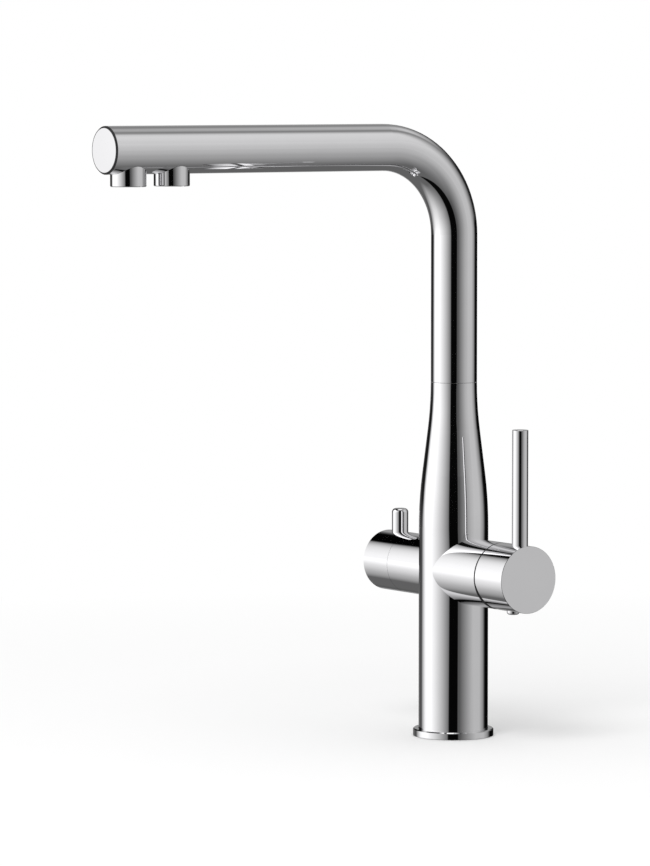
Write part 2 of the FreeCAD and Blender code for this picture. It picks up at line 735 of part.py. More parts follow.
# Filter riser: a bent tube from the web to the tap's axis, then up through the spigot
RISER_HALF_RISE = "(riser_bend * sqrt(1 - (1 - inlet_pitch_radius / (2 * riser_bend))^2))"
RISER_FOOT = f"({WEB_TOP} - socket_depth)"
RISER_TURN = f"({WEB_TOP} + riser_straight)"

riser = new_body("filter_riser")
swept_tube(
    riser, RISER_FOOT, "riser_diameter / 2", RISER_BORE_RADIUS,
    ("XZ", [
        ("-inlet_pitch_radius", RISER_FOOT),
        ("-inlet_pitch_radius", RISER_TURN),
        ("-inlet_pitch_radius / 2", f"{RISER_TURN} + {RISER_HALF_RISE}", "riser_bend", -1),
        ("0", f"{RISER_TURN} + 2 * {RISER_HALF_RISE}", "riser_bend", 1),
        ("0", RISER_TOP),
    ]),
    offset=INLETS["filter"],
)

# Spout swivel: spigot in the neck, its rubber rings, the glide ring under the spout
SPIGOT_SHOULDER = "(neck_height - spigot_shoulder_drop)"


def groove_corners(height, width, floor):
    """Corners of a groove round the journal, from its lower edge to its upper edge."""
    return [
        (JOURNAL_RADIUS, f"{height} - {width} / 2"),
        (floor, f"{height} - {width} / 2"),
        (floor, f"{height} + {width} / 2"),
        (JOURNAL_RADIUS, f"{height} + {width} / 2"),
    ]


ring_groove_width = "(swivel_ring_section + 2 * fit_gap)"
spigot = new_body("swivel_spigot")
turned(spigot, [
    (SPIGOT_BORE_RADIUS, f"{SPIGOT_SHOULDER} - spigot_thread_length"),
    (f"{NECK_BORE_RADIUS} - fit_gap", f"{SPIGOT_SHOULDER} - spigot_thread_length"),
    (f"{NECK_BORE_RADIUS} - fit_gap", SPIGOT_SHOULDER),
    (JOURNAL_RADIUS, SPIGOT_SHOULDER),
    *groove_corners(LOWER_RING, ring_groove_width, RING_GROOVE_RADIUS),
    *groove_corners(RETAINER, "retainer_groove_width", RETAINER_GROOVE_RADIUS),
    *groove_corners(UPPER_RING, ring_groove_width, RING_GROOVE_RADIUS),
    (JOURNAL_RADIUS, SPIGOT_TOP),
    (SPIGOT_BORE_RADIUS, SPIGOT_TOP),
])

rubber_rings(
    "swivel_o_rings",
    [("0", "0", LOWER_RING), ("0", "0", UPPER_RING)],
    f"{RING_GROOVE_RADIUS} + swivel_ring_section / 2",
    "swivel_ring_section / 2 - shaft_gap / 2",
)

glide_ring = new_body("glide_ring")
turned(glide_ring, [
    (f"{NECK_BORE_RADIUS} + 2 * fit_gap", "neck_height - glide_seat_depth"),
    (GLIDE_RADIUS, "neck_height - glide_seat_depth"),
    (GLIDE_RADIUS, f"{SPOUT_FOOT} - shaft_gap"),
    (f"{NECK_BORE_RADIUS} + 2 * fit_gap", f"{SPOUT_FOOT} - shaft_gap"),
])

# Spout: bent tube, swivel sleeve, retaining screw, end cap
spout = new_body("spout_tube")
swept_tube(
    spout, SPOUT_FOOT, TUBE_RADIUS, TUBE_BORE_RADIUS,
    ("YZ", [
        ("0", SPOUT_FOOT),
        ("0", BEND_FOOT),
        ("-bend_radius", SPOUT_AXIS, "bend_radius", 1),
        (f"-{CAP_BACK}", SPOUT_AXIS),
    ]),
)
drilled(
    spout, "XY", SPOUT_AXIS,
    [
        ("0", f"-{MAIN_REACH}", f"{OUTLET_NECK_RADIUS} + fit_gap"),
        ("0", f"-{FILTER_REACH}", f"{OUTLET_NECK_RADIUS} + fit_gap"),
    ],
    f"{TUBE_RADIUS} + cut_margin",
    back=True,
)
drilled(
    spout, "XZ", "0",
    [("0", RETAINER, "retainer_screw_diameter / 2 + shaft_gap")],
    f"{TUBE_RADIUS} + cut_margin",
    back=True,
)

sleeve = new_body("swivel_sleeve")
turned(sleeve, [
    (SLEEVE_BORE_RADIUS, SPOUT_FOOT),
    (SLEEVE_RADIUS, SPOUT_FOOT),
    (SLEEVE_RADIUS, f"{SPOUT_FOOT} + sleeve_length"),
    (SLEEVE_BORE_RADIUS, f"{SPOUT_FOOT} + sleeve_length"),
])
drilled(
    sleeve, "XZ", "0",
    [("0", RETAINER, "retainer_screw_diameter / 2 + shaft_gap")],
    TUBE_RADIUS,
    back=True,
)

retainer = new_body("spout_retaining_screw", BACKWARD, ("0", "0", RETAINER))
RETAINER_TIP = f"{RETAINER_GROOVE_RADIUS} + 2 * fit_gap"
RETAINER_NOSE = "(retainer_screw_diameter / 2 - retainer_groove_depth / 2)"
turned(retainer, [
    ("0", RETAINER_TIP),
    (RETAINER_NOSE, RETAINER_TIP),
    ("retainer_screw_diameter / 2", f"{SLEEVE_BORE_RADIUS} + fit_gap"),
    ("retainer_screw_diameter / 2", f"{TUBE_RADIUS} - retainer_sink"),
    ("0", f"{TUBE_RADIUS} - retainer_sink"),
])
hex_socket(retainer, f"{TUBE_RADIUS} - retainer_sink", "screw_key_width", "screw_key_depth")

CAP_PLUG_RADIUS = f"({TUBE_BORE_RADIUS} - fit_gap)"
CAP_GROOVE_RADIUS = f"({CAP_PLUG_RADIUS} - cap_ring_section)"
CAP_RING = f"({CAP_BACK} - cap_plug_length / 2)"
CAP_GROOVE_HALF = "(cap_ring_section / 2 + fit_gap)"
CAP_RIM_RADIUS = f"({TUBE_RADIUS} - cap_edge)"
CAP_FACE_RADIUS = f"({CAP_RIM_RADIUS} - cap_gap_width)"

# The cap's face stands inside its bevelled rim, with a narrow shadow gap round it
end_cap = new_body("spout_end_cap", FORWARD, ("0", "0", SPOUT_AXIS))
turned(end_cap, [
    ("0", f"{CAP_BACK} - cap_plug_length"),
    (CAP_PLUG_RADIUS, f"{CAP_BACK} - cap_plug_length"),
    (CAP_PLUG_RADIUS, f"{CAP_RING} - {CAP_GROOVE_HALF}"),
    (CAP_GROOVE_RADIUS, f"{CAP_RING} - {CAP_GROOVE_HALF}"),
    (CAP_GROOVE_RADIUS, f"{CAP_RING} + {CAP_GROOVE_HALF}"),
    (CAP_PLUG_RADIUS, f"{CAP_RING} + {CAP_GROOVE_HALF}"),
    (CAP_PLUG_RADIUS, CAP_BACK),
    (TUBE_RADIUS, CAP_BACK),
    (TUBE_RADIUS, "spout_reach - cap_edge_depth"),
    (CAP_RIM_RADIUS, "spout_reach"),
    (CAP_RIM_RADIUS, "spout_reach - cap_gap_depth"),
    (CAP_FACE_RADIUS, "spout_reach - cap_gap_depth"),
    (CAP_FACE_RADIUS, "spout_reach"),
    ("0", "spout_reach"),
])
rubber_rings(
    "end_cap_o_ring",
    [("0", f"-{CAP_RING}", SPOUT_AXIS)],
    f"{CAP_GROOVE_RADIUS} + cap_ring_section / 2",
    "cap_ring_section / 2 - shaft_gap / 2",
    FORWARD,
)

# Outlets: a saddled collar under the spout with its aerator, once for each water
AERATOR_FOOT = f"({OUTLET_BOTTOM} + aerator_sink)"
AERATOR_TOP = f"({OUTLET_LIP} - aerator_gasket_thickness)"
AERATOR_RADIUS = f"({OUTLET_BORE_RADIUS} - fit_gap)"
SCREEN_FOOT = f"({AERATOR_FOOT} + screen_sink)"
SCREEN_RADIUS = f"({AERATOR_RADIUS} - aerator_wall)"
SCREEN_ROWS = (1, 2, 3)
SCREEN_STEP = f"({SCREEN_RADIUS} - screen_rim) / {len(SCREEN_ROWS)}"

for water, reach in (("main", MAIN_REACH), ("filter", FILTER_REACH)):
    place = ("0", f"-{reach}", "0")
    collar = new_body(f"{water}_outlet_collar", place=place)
    turned(collar, [
        (OUTLET_BORE_RADIUS, OUTLET_BOTTOM),
        (f"{OUTLET_RADIUS} - outlet_chamfer", OUTLET_BOTTOM),
        (OUTLET_RADIUS, f"{OUTLET_BOTTOM} + outlet_chamfer"),
        (OUTLET_RADIUS, f"{SPOUT_AXIS} - outlet_neck_rise"),
        (OUTLET_BORE_RADIUS, f"{SPOUT_AXIS} - outlet_neck_rise"),
    ])
    extruded(
        collar,
        draw_circles(new_sketch(collar, "XZ"), [("0", SPOUT_AXIS, f"{TUBE_RADIUS} + shaft_gap")]),
        "2 * outlet_diameter", cut=True, both=True,
    )
    turned(collar, [
        (OUTLET_BORE_RADIUS, f"{OUTLET_BOTTOM} + outlet_drop / 2"),
        (OUTLET_NECK_RADIUS, f"{OUTLET_BOTTOM} + outlet_drop / 2"),
        (OUTLET_NECK_RADIUS, OUTLET_TOP),
        (OUTLET_LIP_RADIUS, OUTLET_TOP),
        (OUTLET_LIP_RADIUS, OUTLET_LIP),
        (OUTLET_BORE_RADIUS, OUTLET_LIP),
    ])

    shell = new_body(f"{water}_aerator_shell", place=place)
    turned(shell, [
        (SCREEN_RADIUS, SCREEN_FOOT),
        (f"{SCREEN_RADIUS} - aerator_wall / 2", SCREEN_FOOT),
        (f"{SCREEN_RADIUS} - aerator_wall / 2", AERATOR_FOOT),
        (AERATOR_RADIUS, AERATOR_FOOT),
        (AERATOR_RADIUS, AERATOR_TOP),
        (SCREEN_RADIUS, AERATOR_TOP),
    ])

    screen = new_body(f"{water}_aerator_screen", place=place)
    turned(screen, [
        ("0", SCREEN_FOOT),
        (f"{SCREEN_RADIUS} - fit_gap", SCREEN_FOOT),
        (f"{SCREEN_RADIUS} - fit_gap", f"{SCREEN_FOOT} + screen_thickness"),
        ("0", f"{SCREEN_FOOT} + screen_thickness"),
    ])
    drilled(screen, "XY", SCREEN_FOOT, [("0", "0", "screen_hole / 2")], "screen_thickness")
    for ring in SCREEN_ROWS:
        ring_of_holes(
            screen, SCREEN_FOOT, f"{SCREEN_STEP} * {ring}", "screen_hole / 2",
            "screen_thickness", 6 * ring,
        )

    washer = new_body(f"{water}_aerator_gasket", place=place)
    turned(washer, [
        (OUTLET_LIP_RADIUS, AERATOR_TOP),
        (AERATOR_RADIUS, AERATOR_TOP),
        (AERATOR_RADIUS, OUTLET_LIP),
        (OUTLET_LIP_RADIUS, OUTLET_LIP),
    ])

# Filter line in the spout: a fitting that turns on the riser, a tube and an elbow to its outlet
NIPPLE_RADIUS = f"({FILTER_BORE_RADIUS} - shaft_gap)"
FITTING_BORE_RADIUS = "(riser_diameter / 2 + shaft_gap)"
FITTING_GROOVE_RADIUS = "(riser_diameter / 2 + fitting_ring_section + shaft_gap)"
FITTING_GROOVE_HALF = "(fitting_ring_section / 2 + fit_gap)"

fitting = new_body("filter_swivel_fitting")
turned(fitting, [
    (FITTING_BORE_RADIUS, FITTING_FOOT),
    ("fitting_diameter / 2", FITTING_FOOT),
    ("fitting_diameter / 2", FITTING_ROOF),
    (NIPPLE_RADIUS, FITTING_ROOF),
    (NIPPLE_RADIUS, f"{FITTING_ROOF} + nipple_length"),
    (f"{NIPPLE_RADIUS} - nipple_wall", f"{FITTING_ROOF} + nipple_length"),
    (f"{NIPPLE_RADIUS} - nipple_wall", f"{RISER_TOP} + fit_gap"),
    (FITTING_BORE_RADIUS, f"{RISER_TOP} + fit_gap"),
    (FITTING_BORE_RADIUS, f"{FITTING_RING} + {FITTING_GROOVE_HALF}"),
    (FITTING_GROOVE_RADIUS, f"{FITTING_RING} + {FITTING_GROOVE_HALF}"),
    (FITTING_GROOVE_RADIUS, f"{FITTING_RING} - {FITTING_GROOVE_HALF}"),
    (FITTING_BORE_RADIUS, f"{FITTING_RING} - {FITTING_GROOVE_HALF}"),
])
rubber_rings(
    "filter_fitting_o_ring",
    [("0", "0", FITTING_RING)],
    "riser_diameter / 2 + fitting_ring_section / 2 + shaft_gap / 2",
    "fitting_ring_section / 2",
)

filter_tube = new_body("spout_filter_tube")
swept_tube(
    filter_tube, FITTING_ROOF, "filter_tube_diameter / 2", FILTER_BORE_RADIUS,
    ("YZ", [
        ("0", FITTING_ROOF),
        ("0", BEND_FOOT),
        ("-bend_radius", SPOUT_AXIS, "bend_radius", 1),
        (f"-({FILTER_REACH} - elbow_diameter / 2)", SPOUT_AXIS),
    ]),
)

ELBOW_END = "(elbow_diameter / 2 + elbow_socket_depth)"
ELBOW_SOCKET_RADIUS = "(filter_tube_diameter / 2 + fit_gap + elbow_socket_wall)"
elbow = new_body("filter_outlet_elbow", place=("0", f"-{FILTER_REACH}", "0"))
turned(elbow, [
    ("0", OUTLET_TOP),
    (f"{OUTLET_NECK_RADIUS} - fit_gap", OUTLET_TOP),
    (f"{OUTLET_NECK_RADIUS} - fit_gap", f"{OUTLET_TOP} + elbow_foot_thickness"),
    ("elbow_diameter / 2", f"{OUTLET_TOP} + elbow_foot_thickness"),
    ("elbow_diameter / 2", f"{SPOUT_AXIS} + elbow_diameter / 2"),
    ("0", f"{SPOUT_AXIS} + elbow_diameter / 2"),
])
turned(elbow, [
    ("0", "0"),
    (ELBOW_END, "0"),
    (ELBOW_END, ELBOW_SOCKET_RADIUS),
    ("0", ELBOW_SOCKET_RADIUS),
], plane="YZ", axis="H_Axis", axis_height=SPOUT_AXIS)
turned(elbow, [
    ("0", "0"),
    (f"{ELBOW_END} + cut_margin", "0"),
    (f"{ELBOW_END} + cut_margin", "filter_tube_diameter / 2 + fit_gap"),
    ("elbow_diameter / 2", "filter_tube_diameter / 2 + fit_gap"),
    ("elbow_diameter / 2", FILTER_BORE_RADIUS),
    ("0", FILTER_BORE_RADIUS),
], cut=True, plane="YZ", axis="H_Axis", axis_height=SPOUT_AXIS)
drilled(
    elbow, "XY", f"{OUTLET_TOP} - cut_margin", [("0", "0", "elbow_bore / 2")],
    f"{SPOUT_AXIS} - {OUTLET_TOP} + cut_margin",
)

# Mixer cartridge: its own +Z points out of the boss and its +X points up
AT_HANDLE = ("0", "0", "handle_height")
PORTS = [
    ("-port_drop", SIDE_PITCH),
    ("-port_drop", f"-{SIDE_PITCH}"),
    ("mixed_port_rise", "0"),
]
PORT_SEAL_RADIUS = "(port_bore / 2 + port_seal_section / 2 + fit_gap)"

base = new_body("cartridge_base", MIXER_SIDE, AT_HANDLE)
turned(base, [
    ("0", "cartridge_seat"),
    ("cartridge_diameter / 2", "cartridge_seat"),
    ("cartridge_diameter / 2", BASE_TOP),
    ("0", BASE_TOP),
])
drilled(base, "XY", "cartridge_seat", [(*port, "port_bore / 2") for port in PORTS], "base_thickness")
drilled(
    base, "XY", "cartridge_seat",
    [(*port, "port_bore / 2 + port_seal_section + 2 * fit_gap") for port in PORTS],
    "port_seal_section + fit_gap",
)
rubber_rings(
    "cartridge_port_seals",
    [
        ("cartridge_seat + port_seal_section / 2 + fit_gap / 2", f"-({along})", f"handle_height + {up}")
        for up, along in PORTS
    ],
    PORT_SEAL_RADIUS,
    "port_seal_section / 2",
    MIXER_SIDE,
)

fixed_disc = new_body("fixed_ceramic_disc", MIXER_SIDE, AT_HANDLE)
turned(fixed_disc, [
    ("0", BASE_TOP),
    (f"{CARTRIDGE_BORE_RADIUS} - fit_gap", BASE_TOP),
    (f"{CARTRIDGE_BORE_RADIUS} - fit_gap", FIXED_DISC_TOP),
    ("0", FIXED_DISC_TOP),
])
drilled(fixed_disc, "XY", BASE_TOP, [(*port, "port_bore / 2") for port in PORTS], "fixed_disc_thickness")

MOVING_DISC_RADIUS = f"({CARTRIDGE_BORE_RADIUS} - disc_margin)"
moving_disc = new_body("moving_ceramic_disc", MIXER_SIDE, AT_HANDLE)
turned(moving_disc, [
    ("0", f"{MOVING_DISC_FOOT} + mixing_recess_depth"),
    ("mixing_recess_diameter / 2", f"{MOVING_DISC_FOOT} + mixing_recess_depth"),
    ("mixing_recess_diameter / 2", MOVING_DISC_FOOT),
    (MOVING_DISC_RADIUS, MOVING_DISC_FOOT),
    (MOVING_DISC_RADIUS, MOVING_DISC_TOP),
    ("0", MOVING_DISC_TOP),
])

slider = new_body("disc_slider", MIXER_SIDE, AT_HANDLE)
extruded(
    slider,
    draw_outline(
        new_sketch(slider, "XY", ("0", "0", MOVING_DISC_TOP)),
        block_outline("slider_length / 2", "slider_width / 2"),
    ),
    "slider_thickness",
)
extruded(
    slider,
    draw_outline(
        new_sketch(slider, "XY", ("0", "0", f"{TIP_CENTRE} - stem_tip_diameter / 2 - fit_gap")),
        block_outline("stem_tip_diameter / 2 + fit_gap", "stem_width / 2 + fit_gap"),
    ),
    f"{SLIDER_TOP} - {TIP_CENTRE} + stem_tip_diameter / 2 + cut_margin", cut=True,
)

housing = new_body("cartridge_housing", MIXER_SIDE, AT_HANDLE)
turned(housing, [
    (CARTRIDGE_BORE_RADIUS, BASE_TOP),
    ("cartridge_diameter / 2", BASE_TOP),
    ("cartridge_diameter / 2", CARTRIDGE_TOP),
    ("cartridge_mouth / 2", CARTRIDGE_TOP),
    ("cartridge_mouth / 2", f"{CARTRIDGE_TOP} - cartridge_roof"),
    (CARTRIDGE_BORE_RADIUS, f"{CARTRIDGE_TOP} - cartridge_roof"),
])

CARRIER_FOOT = f"({MOVING_DISC_TOP} + fit_gap)"
CARRIER_TOP = f"({CARTRIDGE_TOP} - cartridge_roof - fit_gap)"
CARRIER_FLOOR = f"({SLIDER_TOP} + fit_gap)"
PIVOT_HOLE = ("0", PIVOT, "pivot_pin_diameter / 2 + shaft_gap")
carrier = new_body("cartridge_carrier", MIXER_SIDE, AT_HANDLE)
turned(carrier, [
    ("0", CARRIER_FOOT),
    (f"{CARTRIDGE_BORE_RADIUS} - shaft_gap", CARRIER_FOOT),
    (f"{CARTRIDGE_BORE_RADIUS} - shaft_gap", CARRIER_TOP),
    ("0", CARRIER_TOP),
])
extruded(
    carrier,
    draw_outline(
        new_sketch(carrier, "XY", ("0", "0", f"{CARRIER_FOOT} - cut_margin")),
        block_outline("cartridge_diameter / 2", "slider_width / 2 + fit_gap"),
    ),
    f"{CARRIER_FLOOR} - {CARRIER_FOOT} + cut_margin", cut=True,
)
extruded(
    carrier,
    draw_outline(
        new_sketch(carrier, "XY", ("0", "0", CARRIER_FOOT)),
        block_outline("carrier_slot_length / 2", "stem_width / 2 + fit_gap"),
    ),
    f"{CARRIER_TOP} - {CARRIER_FOOT} + cut_margin", cut=True,
)
extruded(
    carrier,
    draw_circles(new_sketch(carrier, "XZ"), [PIVOT_HOLE]),
    "cartridge_diameter", cut=True, both=True,
)

pivot_pin = new_body("carrier_pivot_pin", MIXER_SIDE, AT_HANDLE)
extruded(
    pivot_pin,
    draw_circles(new_sketch(pivot_pin, "XZ"), [("0", PIVOT, "pivot_pin_diameter / 2")]),
    f"2 * ({CARTRIDGE_BORE_RADIUS} - pivot_pin_inset)", both=True,
)

# Stem: round tip in the slider, a waist, an eye on the pin and a square shank for the handle
stem = new_body("cartridge_stem", MIXER_SIDE, AT_HANDLE)
TIP_NECK = f"{TIP_CENTRE} + sqrt((stem_tip_diameter / 2)^2 - (stem_waist / 2)^2)"
extruded(
    stem,
    draw_outline(new_sketch(stem, "XZ"), [
        ("stem_tip_diameter / 2", TIP_CENTRE, "stem_tip_diameter / 2", 1),
        ("stem_waist / 2", TIP_NECK, "stem_tip_diameter / 2", 1),
        ("stem_waist / 2", f"{PIVOT} - stem_flare"),
        ("stem_width / 2", PIVOT),
        ("stem_width / 2", STEM_END),
        ("-stem_width / 2", STEM_END),
        ("-stem_width / 2", PIVOT),
        ("-stem_waist / 2", f"{PIVOT} - stem_flare"),
        ("-stem_waist / 2", TIP_NECK),
        ("-stem_tip_diameter / 2", TIP_CENTRE, "stem_tip_diameter / 2", 1),
        ("0", f"{TIP_CENTRE} - stem_tip_diameter / 2", "stem_tip_diameter / 2", 1),
    ]),
    "stem_width", both=True,
)
extruded(
    stem,
    draw_circles(new_sketch(stem, "XZ"), [PIVOT_HOLE]),
    "2 * stem_width", cut=True, both=True,
)

nut = new_body("cartridge_nut", MIXER_SIDE, AT_HANDLE)
turned(nut, [
    ("nut_bore / 2", CARTRIDGE_TOP),
    (NUT_RADIUS, CARTRIDGE_TOP),
    (NUT_RADIUS, f"{CARTRIDGE_TOP} + nut_thickness"),
    ("nut_bore / 2", f"{CARTRIDGE_TOP} + nut_thickness"),
])

# Mixer handle: a cup whose rim is a sphere about the pivot, so that it can tilt over the boss
handle = new_body("mixer_handle_shell", MIXER_SIDE, AT_HANDLE)
turned(handle, [
    ("0", HANDLE_FLOOR),
    (HANDLE_CAVITY_RADIUS, HANDLE_FLOOR),
    (HANDLE_CAVITY_RADIUS, f"{PIVOT} + sqrt({HANDLE_SPHERE}^2 - {HANDLE_CAVITY_RADIUS}^2)"),
    (MIXER_RADIUS, HANDLE_EDGE, HANDLE_SPHERE, -1),
    (MIXER_RADIUS, f"{HANDLE_END} - handle_chamfer"),
    (f"{MIXER_RADIUS} - handle_chamfer", HANDLE_END),
    ("0", HANDLE_END),
])
# The rim slants away from the boss below the axis, where the handle swings inwards
extruded(
    handle,
    draw_outline(new_sketch(handle, "XZ"), [
        ("0", f"{HANDLE_EDGE} - rim_slant_start"),
        (f"-({MIXER_RADIUS} + cut_margin)", f"{HANDLE_EDGE} + rim_slant_depth"),
        (f"-({MIXER_RADIUS} + cut_margin)", BOSS_EDGE),
        ("0", BOSS_EDGE),
    ]),
    f"2 * ({MIXER_RADIUS} + cut_margin)", cut=True, both=True,
)
extruded(
    handle,
    draw_outline(
        new_sketch(handle, "XY", ("0", "0", HANDLE_FLOOR)),
        block_outline("stem_width / 2 + fit_gap", "stem_width / 2 + fit_gap"),
    ),
    "handle_length - handle_cavity_depth - handle_end_wall", cut=True,
)
drilled(
    handle, "YZ", LEVER_SEAT, [("0", LEVER_POSITION, "lever_diameter / 2 + shaft_gap")],
    MIXER_RADIUS,
)
drilled(
    handle, "YZ", f"{LEVER_SEAT} - lever_stub_length - fit_gap",
    [("0", LEVER_POSITION, "lever_stub_diameter / 2 + shaft_gap")],
    "lever_stub_length + cut_margin",
)
drilled(
    handle, "YZ", "0", [("0", CLAMP_POSITION, "clamp_screw_diameter / 2 + shaft_gap")],
    f"{MIXER_RADIUS} + cut_margin", back=True,
)
drilled(
    handle, "YZ", f"-({MIXER_RADIUS} - plug_depth)",
    [("0", CLAMP_POSITION, "plug_diameter / 2 + shaft_gap")],
    "plug_depth + cut_margin", back=True,
)

lever = new_body("lever_rod", place=(LEVER_POSITION, "0", "handle_height"))
turned(lever, [
    ("0", f"{LEVER_SEAT} - lever_stub_length"),
    ("lever_stub_diameter / 2", f"{LEVER_SEAT} - lever_stub_length"),
    ("lever_stub_diameter / 2", LEVER_SEAT),
    ("lever_diameter / 2", LEVER_SEAT),
    ("lever_diameter / 2", "lever_top - lever_chamfer"),
    ("lever_diameter / 2 - lever_chamfer", "lever_top"),
    ("0", "lever_top"),
])

clamp_screw = new_body("handle_set_screw", DOWNWARD, (CLAMP_POSITION, "0", "handle_height"))
CLAMP_TIP = "(stem_width / 2 + shaft_gap)"
turned(clamp_screw, [
    ("0", CLAMP_TIP),
    ("clamp_screw_diameter / 2", CLAMP_TIP),
    ("clamp_screw_diameter / 2", f"{CLAMP_TIP} + clamp_screw_length"),
    ("0", f"{CLAMP_TIP} + clamp_screw_length"),
])
hex_socket(clamp_screw, f"{CLAMP_TIP} + clamp_screw_length", "screw_key_width", "screw_key_depth")

plug = new_body("set_screw_plug", DOWNWARD, (CLAMP_POSITION, "0", "handle_height"))
turned(plug, [
    ("0", f"{MIXER_RADIUS} - plug_depth"),
    ("plug_diameter / 2", f"{MIXER_RADIUS} - plug_depth"),
    ("plug_diameter / 2", f"{MIXER_RADIUS} + plug_rise - plug_edge"),
    ("plug_diameter / 2 - plug_edge", f"{MIXER_RADIUS} + plug_rise", "plug_edge", 1),
    ("0", f"{MIXER_RADIUS} + plug_rise"),
])

# Filter valve: its own +Z points out of the left boss and its +X points up
VALVE_PORTS = [("-valve_port_offset", "0"), ("valve_port_offset", "0")]
VALVE_DISC_RADIUS = f"({VALVE_CHAMBER_RADIUS} - fit_gap)"
SPINDLE_BORE_RADIUS = "(spindle_diameter / 2 + shaft_gap)"
SPINDLE_GROOVE_RADIUS = "(spindle_diameter / 2 - spindle_ring_section)"
SPINDLE_GROOVE_HALF = "(spindle_ring_section / 2 + fit_gap)"
CLIP_FOOT = f"({VALVE_TOP} + fit_gap)"

valve = new_body("filter_valve_housing", FILTER_SIDE, AT_HANDLE)
turned(valve, [
    (VALVE_CHAMBER_RADIUS, SEAL_TOP),
    (VALVE_RADIUS, SEAL_TOP),
    (VALVE_RADIUS, f"{VALVE_TOP} - valve_flange_thickness"),
    (VALVE_FLANGE_RADIUS, f"{VALVE_TOP} - valve_flange_thickness"),
    (VALVE_FLANGE_RADIUS, VALVE_TOP),
    (SPINDLE_BORE_RADIUS, VALVE_TOP),
    (SPINDLE_BORE_RADIUS, f"{SEAL_TOP} + valve_chamber_depth"),
    (VALVE_CHAMBER_RADIUS, f"{SEAL_TOP} + valve_chamber_depth"),
])

seat_seal = new_body("filter_seat_seal", FILTER_SIDE, AT_HANDLE)
turned(seat_seal, [
    ("0", "valve_seat"),
    (VALVE_RADIUS, "valve_seat"),
    (VALVE_RADIUS, SEAL_TOP),
    ("0", SEAL_TOP),
])
drilled(
    seat_seal, "XY", "valve_seat", [(*port, "valve_port_bore / 2") for port in VALVE_PORTS],
    "seat_seal_thickness",
)

valve_disc = new_body("filter_fixed_disc", FILTER_SIDE, AT_HANDLE)
turned(valve_disc, [
    ("0", SEAL_TOP),
    (VALVE_DISC_RADIUS, SEAL_TOP),
    (VALVE_DISC_RADIUS, VALVE_DISC_TOP),
    ("0", VALVE_DISC_TOP),
])
drilled(
    valve_disc, "XY", SEAL_TOP, [(*port, "valve_port_bore / 2") for port in VALVE_PORTS],
    "valve_disc_thickness",
)

turn_disc = new_body("filter_turning_disc", FILTER_SIDE, AT_HANDLE)
turned(turn_disc, [
    ("0", TURN_DISC_FOOT),
    (VALVE_DISC_RADIUS, TURN_DISC_FOOT),
    (VALVE_DISC_RADIUS, TURN_DISC_TOP),
    ("0", TURN_DISC_TOP),
])
extruded(
    turn_disc,
    draw_outline(
        new_sketch(turn_disc, "XY", ("0", "0", TURN_DISC_FOOT)),
        block_outline("valve_slot_width / 2", "valve_slot_length / 2"),
    ),
    "valve_slot_depth", cut=True,
)

spindle = new_body("filter_spindle", FILTER_SIDE, AT_HANDLE)
turned(spindle, [
    ("0", TURN_DISC_TOP),
    (VALVE_DISC_RADIUS, TURN_DISC_TOP),
    (VALVE_DISC_RADIUS, SPINDLE_HEAD_TOP),
    ("spindle_diameter / 2", SPINDLE_HEAD_TOP),
    ("spindle_diameter / 2", f"{SPINDLE_RING} - {SPINDLE_GROOVE_HALF}"),
    (SPINDLE_GROOVE_RADIUS, f"{SPINDLE_RING} - {SPINDLE_GROOVE_HALF}"),
    (SPINDLE_GROOVE_RADIUS, f"{SPINDLE_RING} + {SPINDLE_GROOVE_HALF}"),
    ("spindle_diameter / 2", f"{SPINDLE_RING} + {SPINDLE_GROOVE_HALF}"),
    ("spindle_diameter / 2", CLIP_FOOT),
    ("spindle_diameter / 2 - clip_groove_depth", CLIP_FOOT),
    ("spindle_diameter / 2 - clip_groove_depth", f"{CLIP_FOOT} + clip_thickness"),
    ("spindle_diameter / 2", f"{CLIP_FOOT} + clip_thickness"),
    ("spindle_diameter / 2", SPINDLE_END),
    ("0", SPINDLE_END),
])
rubber_rings(
    "filter_spindle_o_ring",
    [(f"-{SPINDLE_RING}", "0", "handle_height")],
    f"{SPINDLE_GROOVE_RADIUS} + spindle_ring_section / 2",
    "spindle_ring_section / 2 - shaft_gap / 2",
    FILTER_SIDE,
)

clip = new_body("filter_spindle_clip", FILTER_SIDE, AT_HANDLE)
turned(clip, [
    ("spindle_diameter / 2 - clip_groove_depth", CLIP_FOOT),
    ("clip_diameter / 2", CLIP_FOOT),
    ("clip_diameter / 2", f"{CLIP_FOOT} + clip_thickness"),
    ("spindle_diameter / 2 - clip_groove_depth", f"{CLIP_FOOT} + clip_thickness"),
])

knob = new_body("filter_knob", FILTER_SIDE, AT_HANDLE)
turned(knob, [
    ("0", KNOB_FLOOR),
    (KNOB_CAVITY_RADIUS, KNOB_FLOOR),
    (KNOB_CAVITY_RADIUS, KNOB_EDGE),
    (FILTER_RADIUS, KNOB_EDGE),
    (FILTER_RADIUS, f"{KNOB_END} - knob_chamfer"),
    (f"{FILTER_RADIUS} - knob_chamfer", KNOB_END),
    ("0", KNOB_END),
])
drilled(
    knob, "XY", f"{KNOB_FLOOR} - cut_margin", [("0", "0", SPINDLE_BORE_RADIUS)],
    f"{SPINDLE_END} - {KNOB_FLOOR} + cut_margin + fit_gap",
)
drilled(
    knob, "YZ", PIN_SEAT, [("0", PIN_POSITION, "pin_diameter / 2 + shaft_gap")],
    FILTER_RADIUS,
)
drilled(
    knob, "YZ", f"{PIN_SEAT} - pin_stub_length - fit_gap",
    [("0", PIN_POSITION, "pin_stub_diameter / 2 + shaft_gap")],
    "pin_stub_length + cut_margin",
)
drilled(
    knob, "YZ", "0", [("0", PIN_POSITION, "knob_screw_diameter / 2 + shaft_gap")],
    f"{FILTER_RADIUS} + cut_margin", back=True,
)

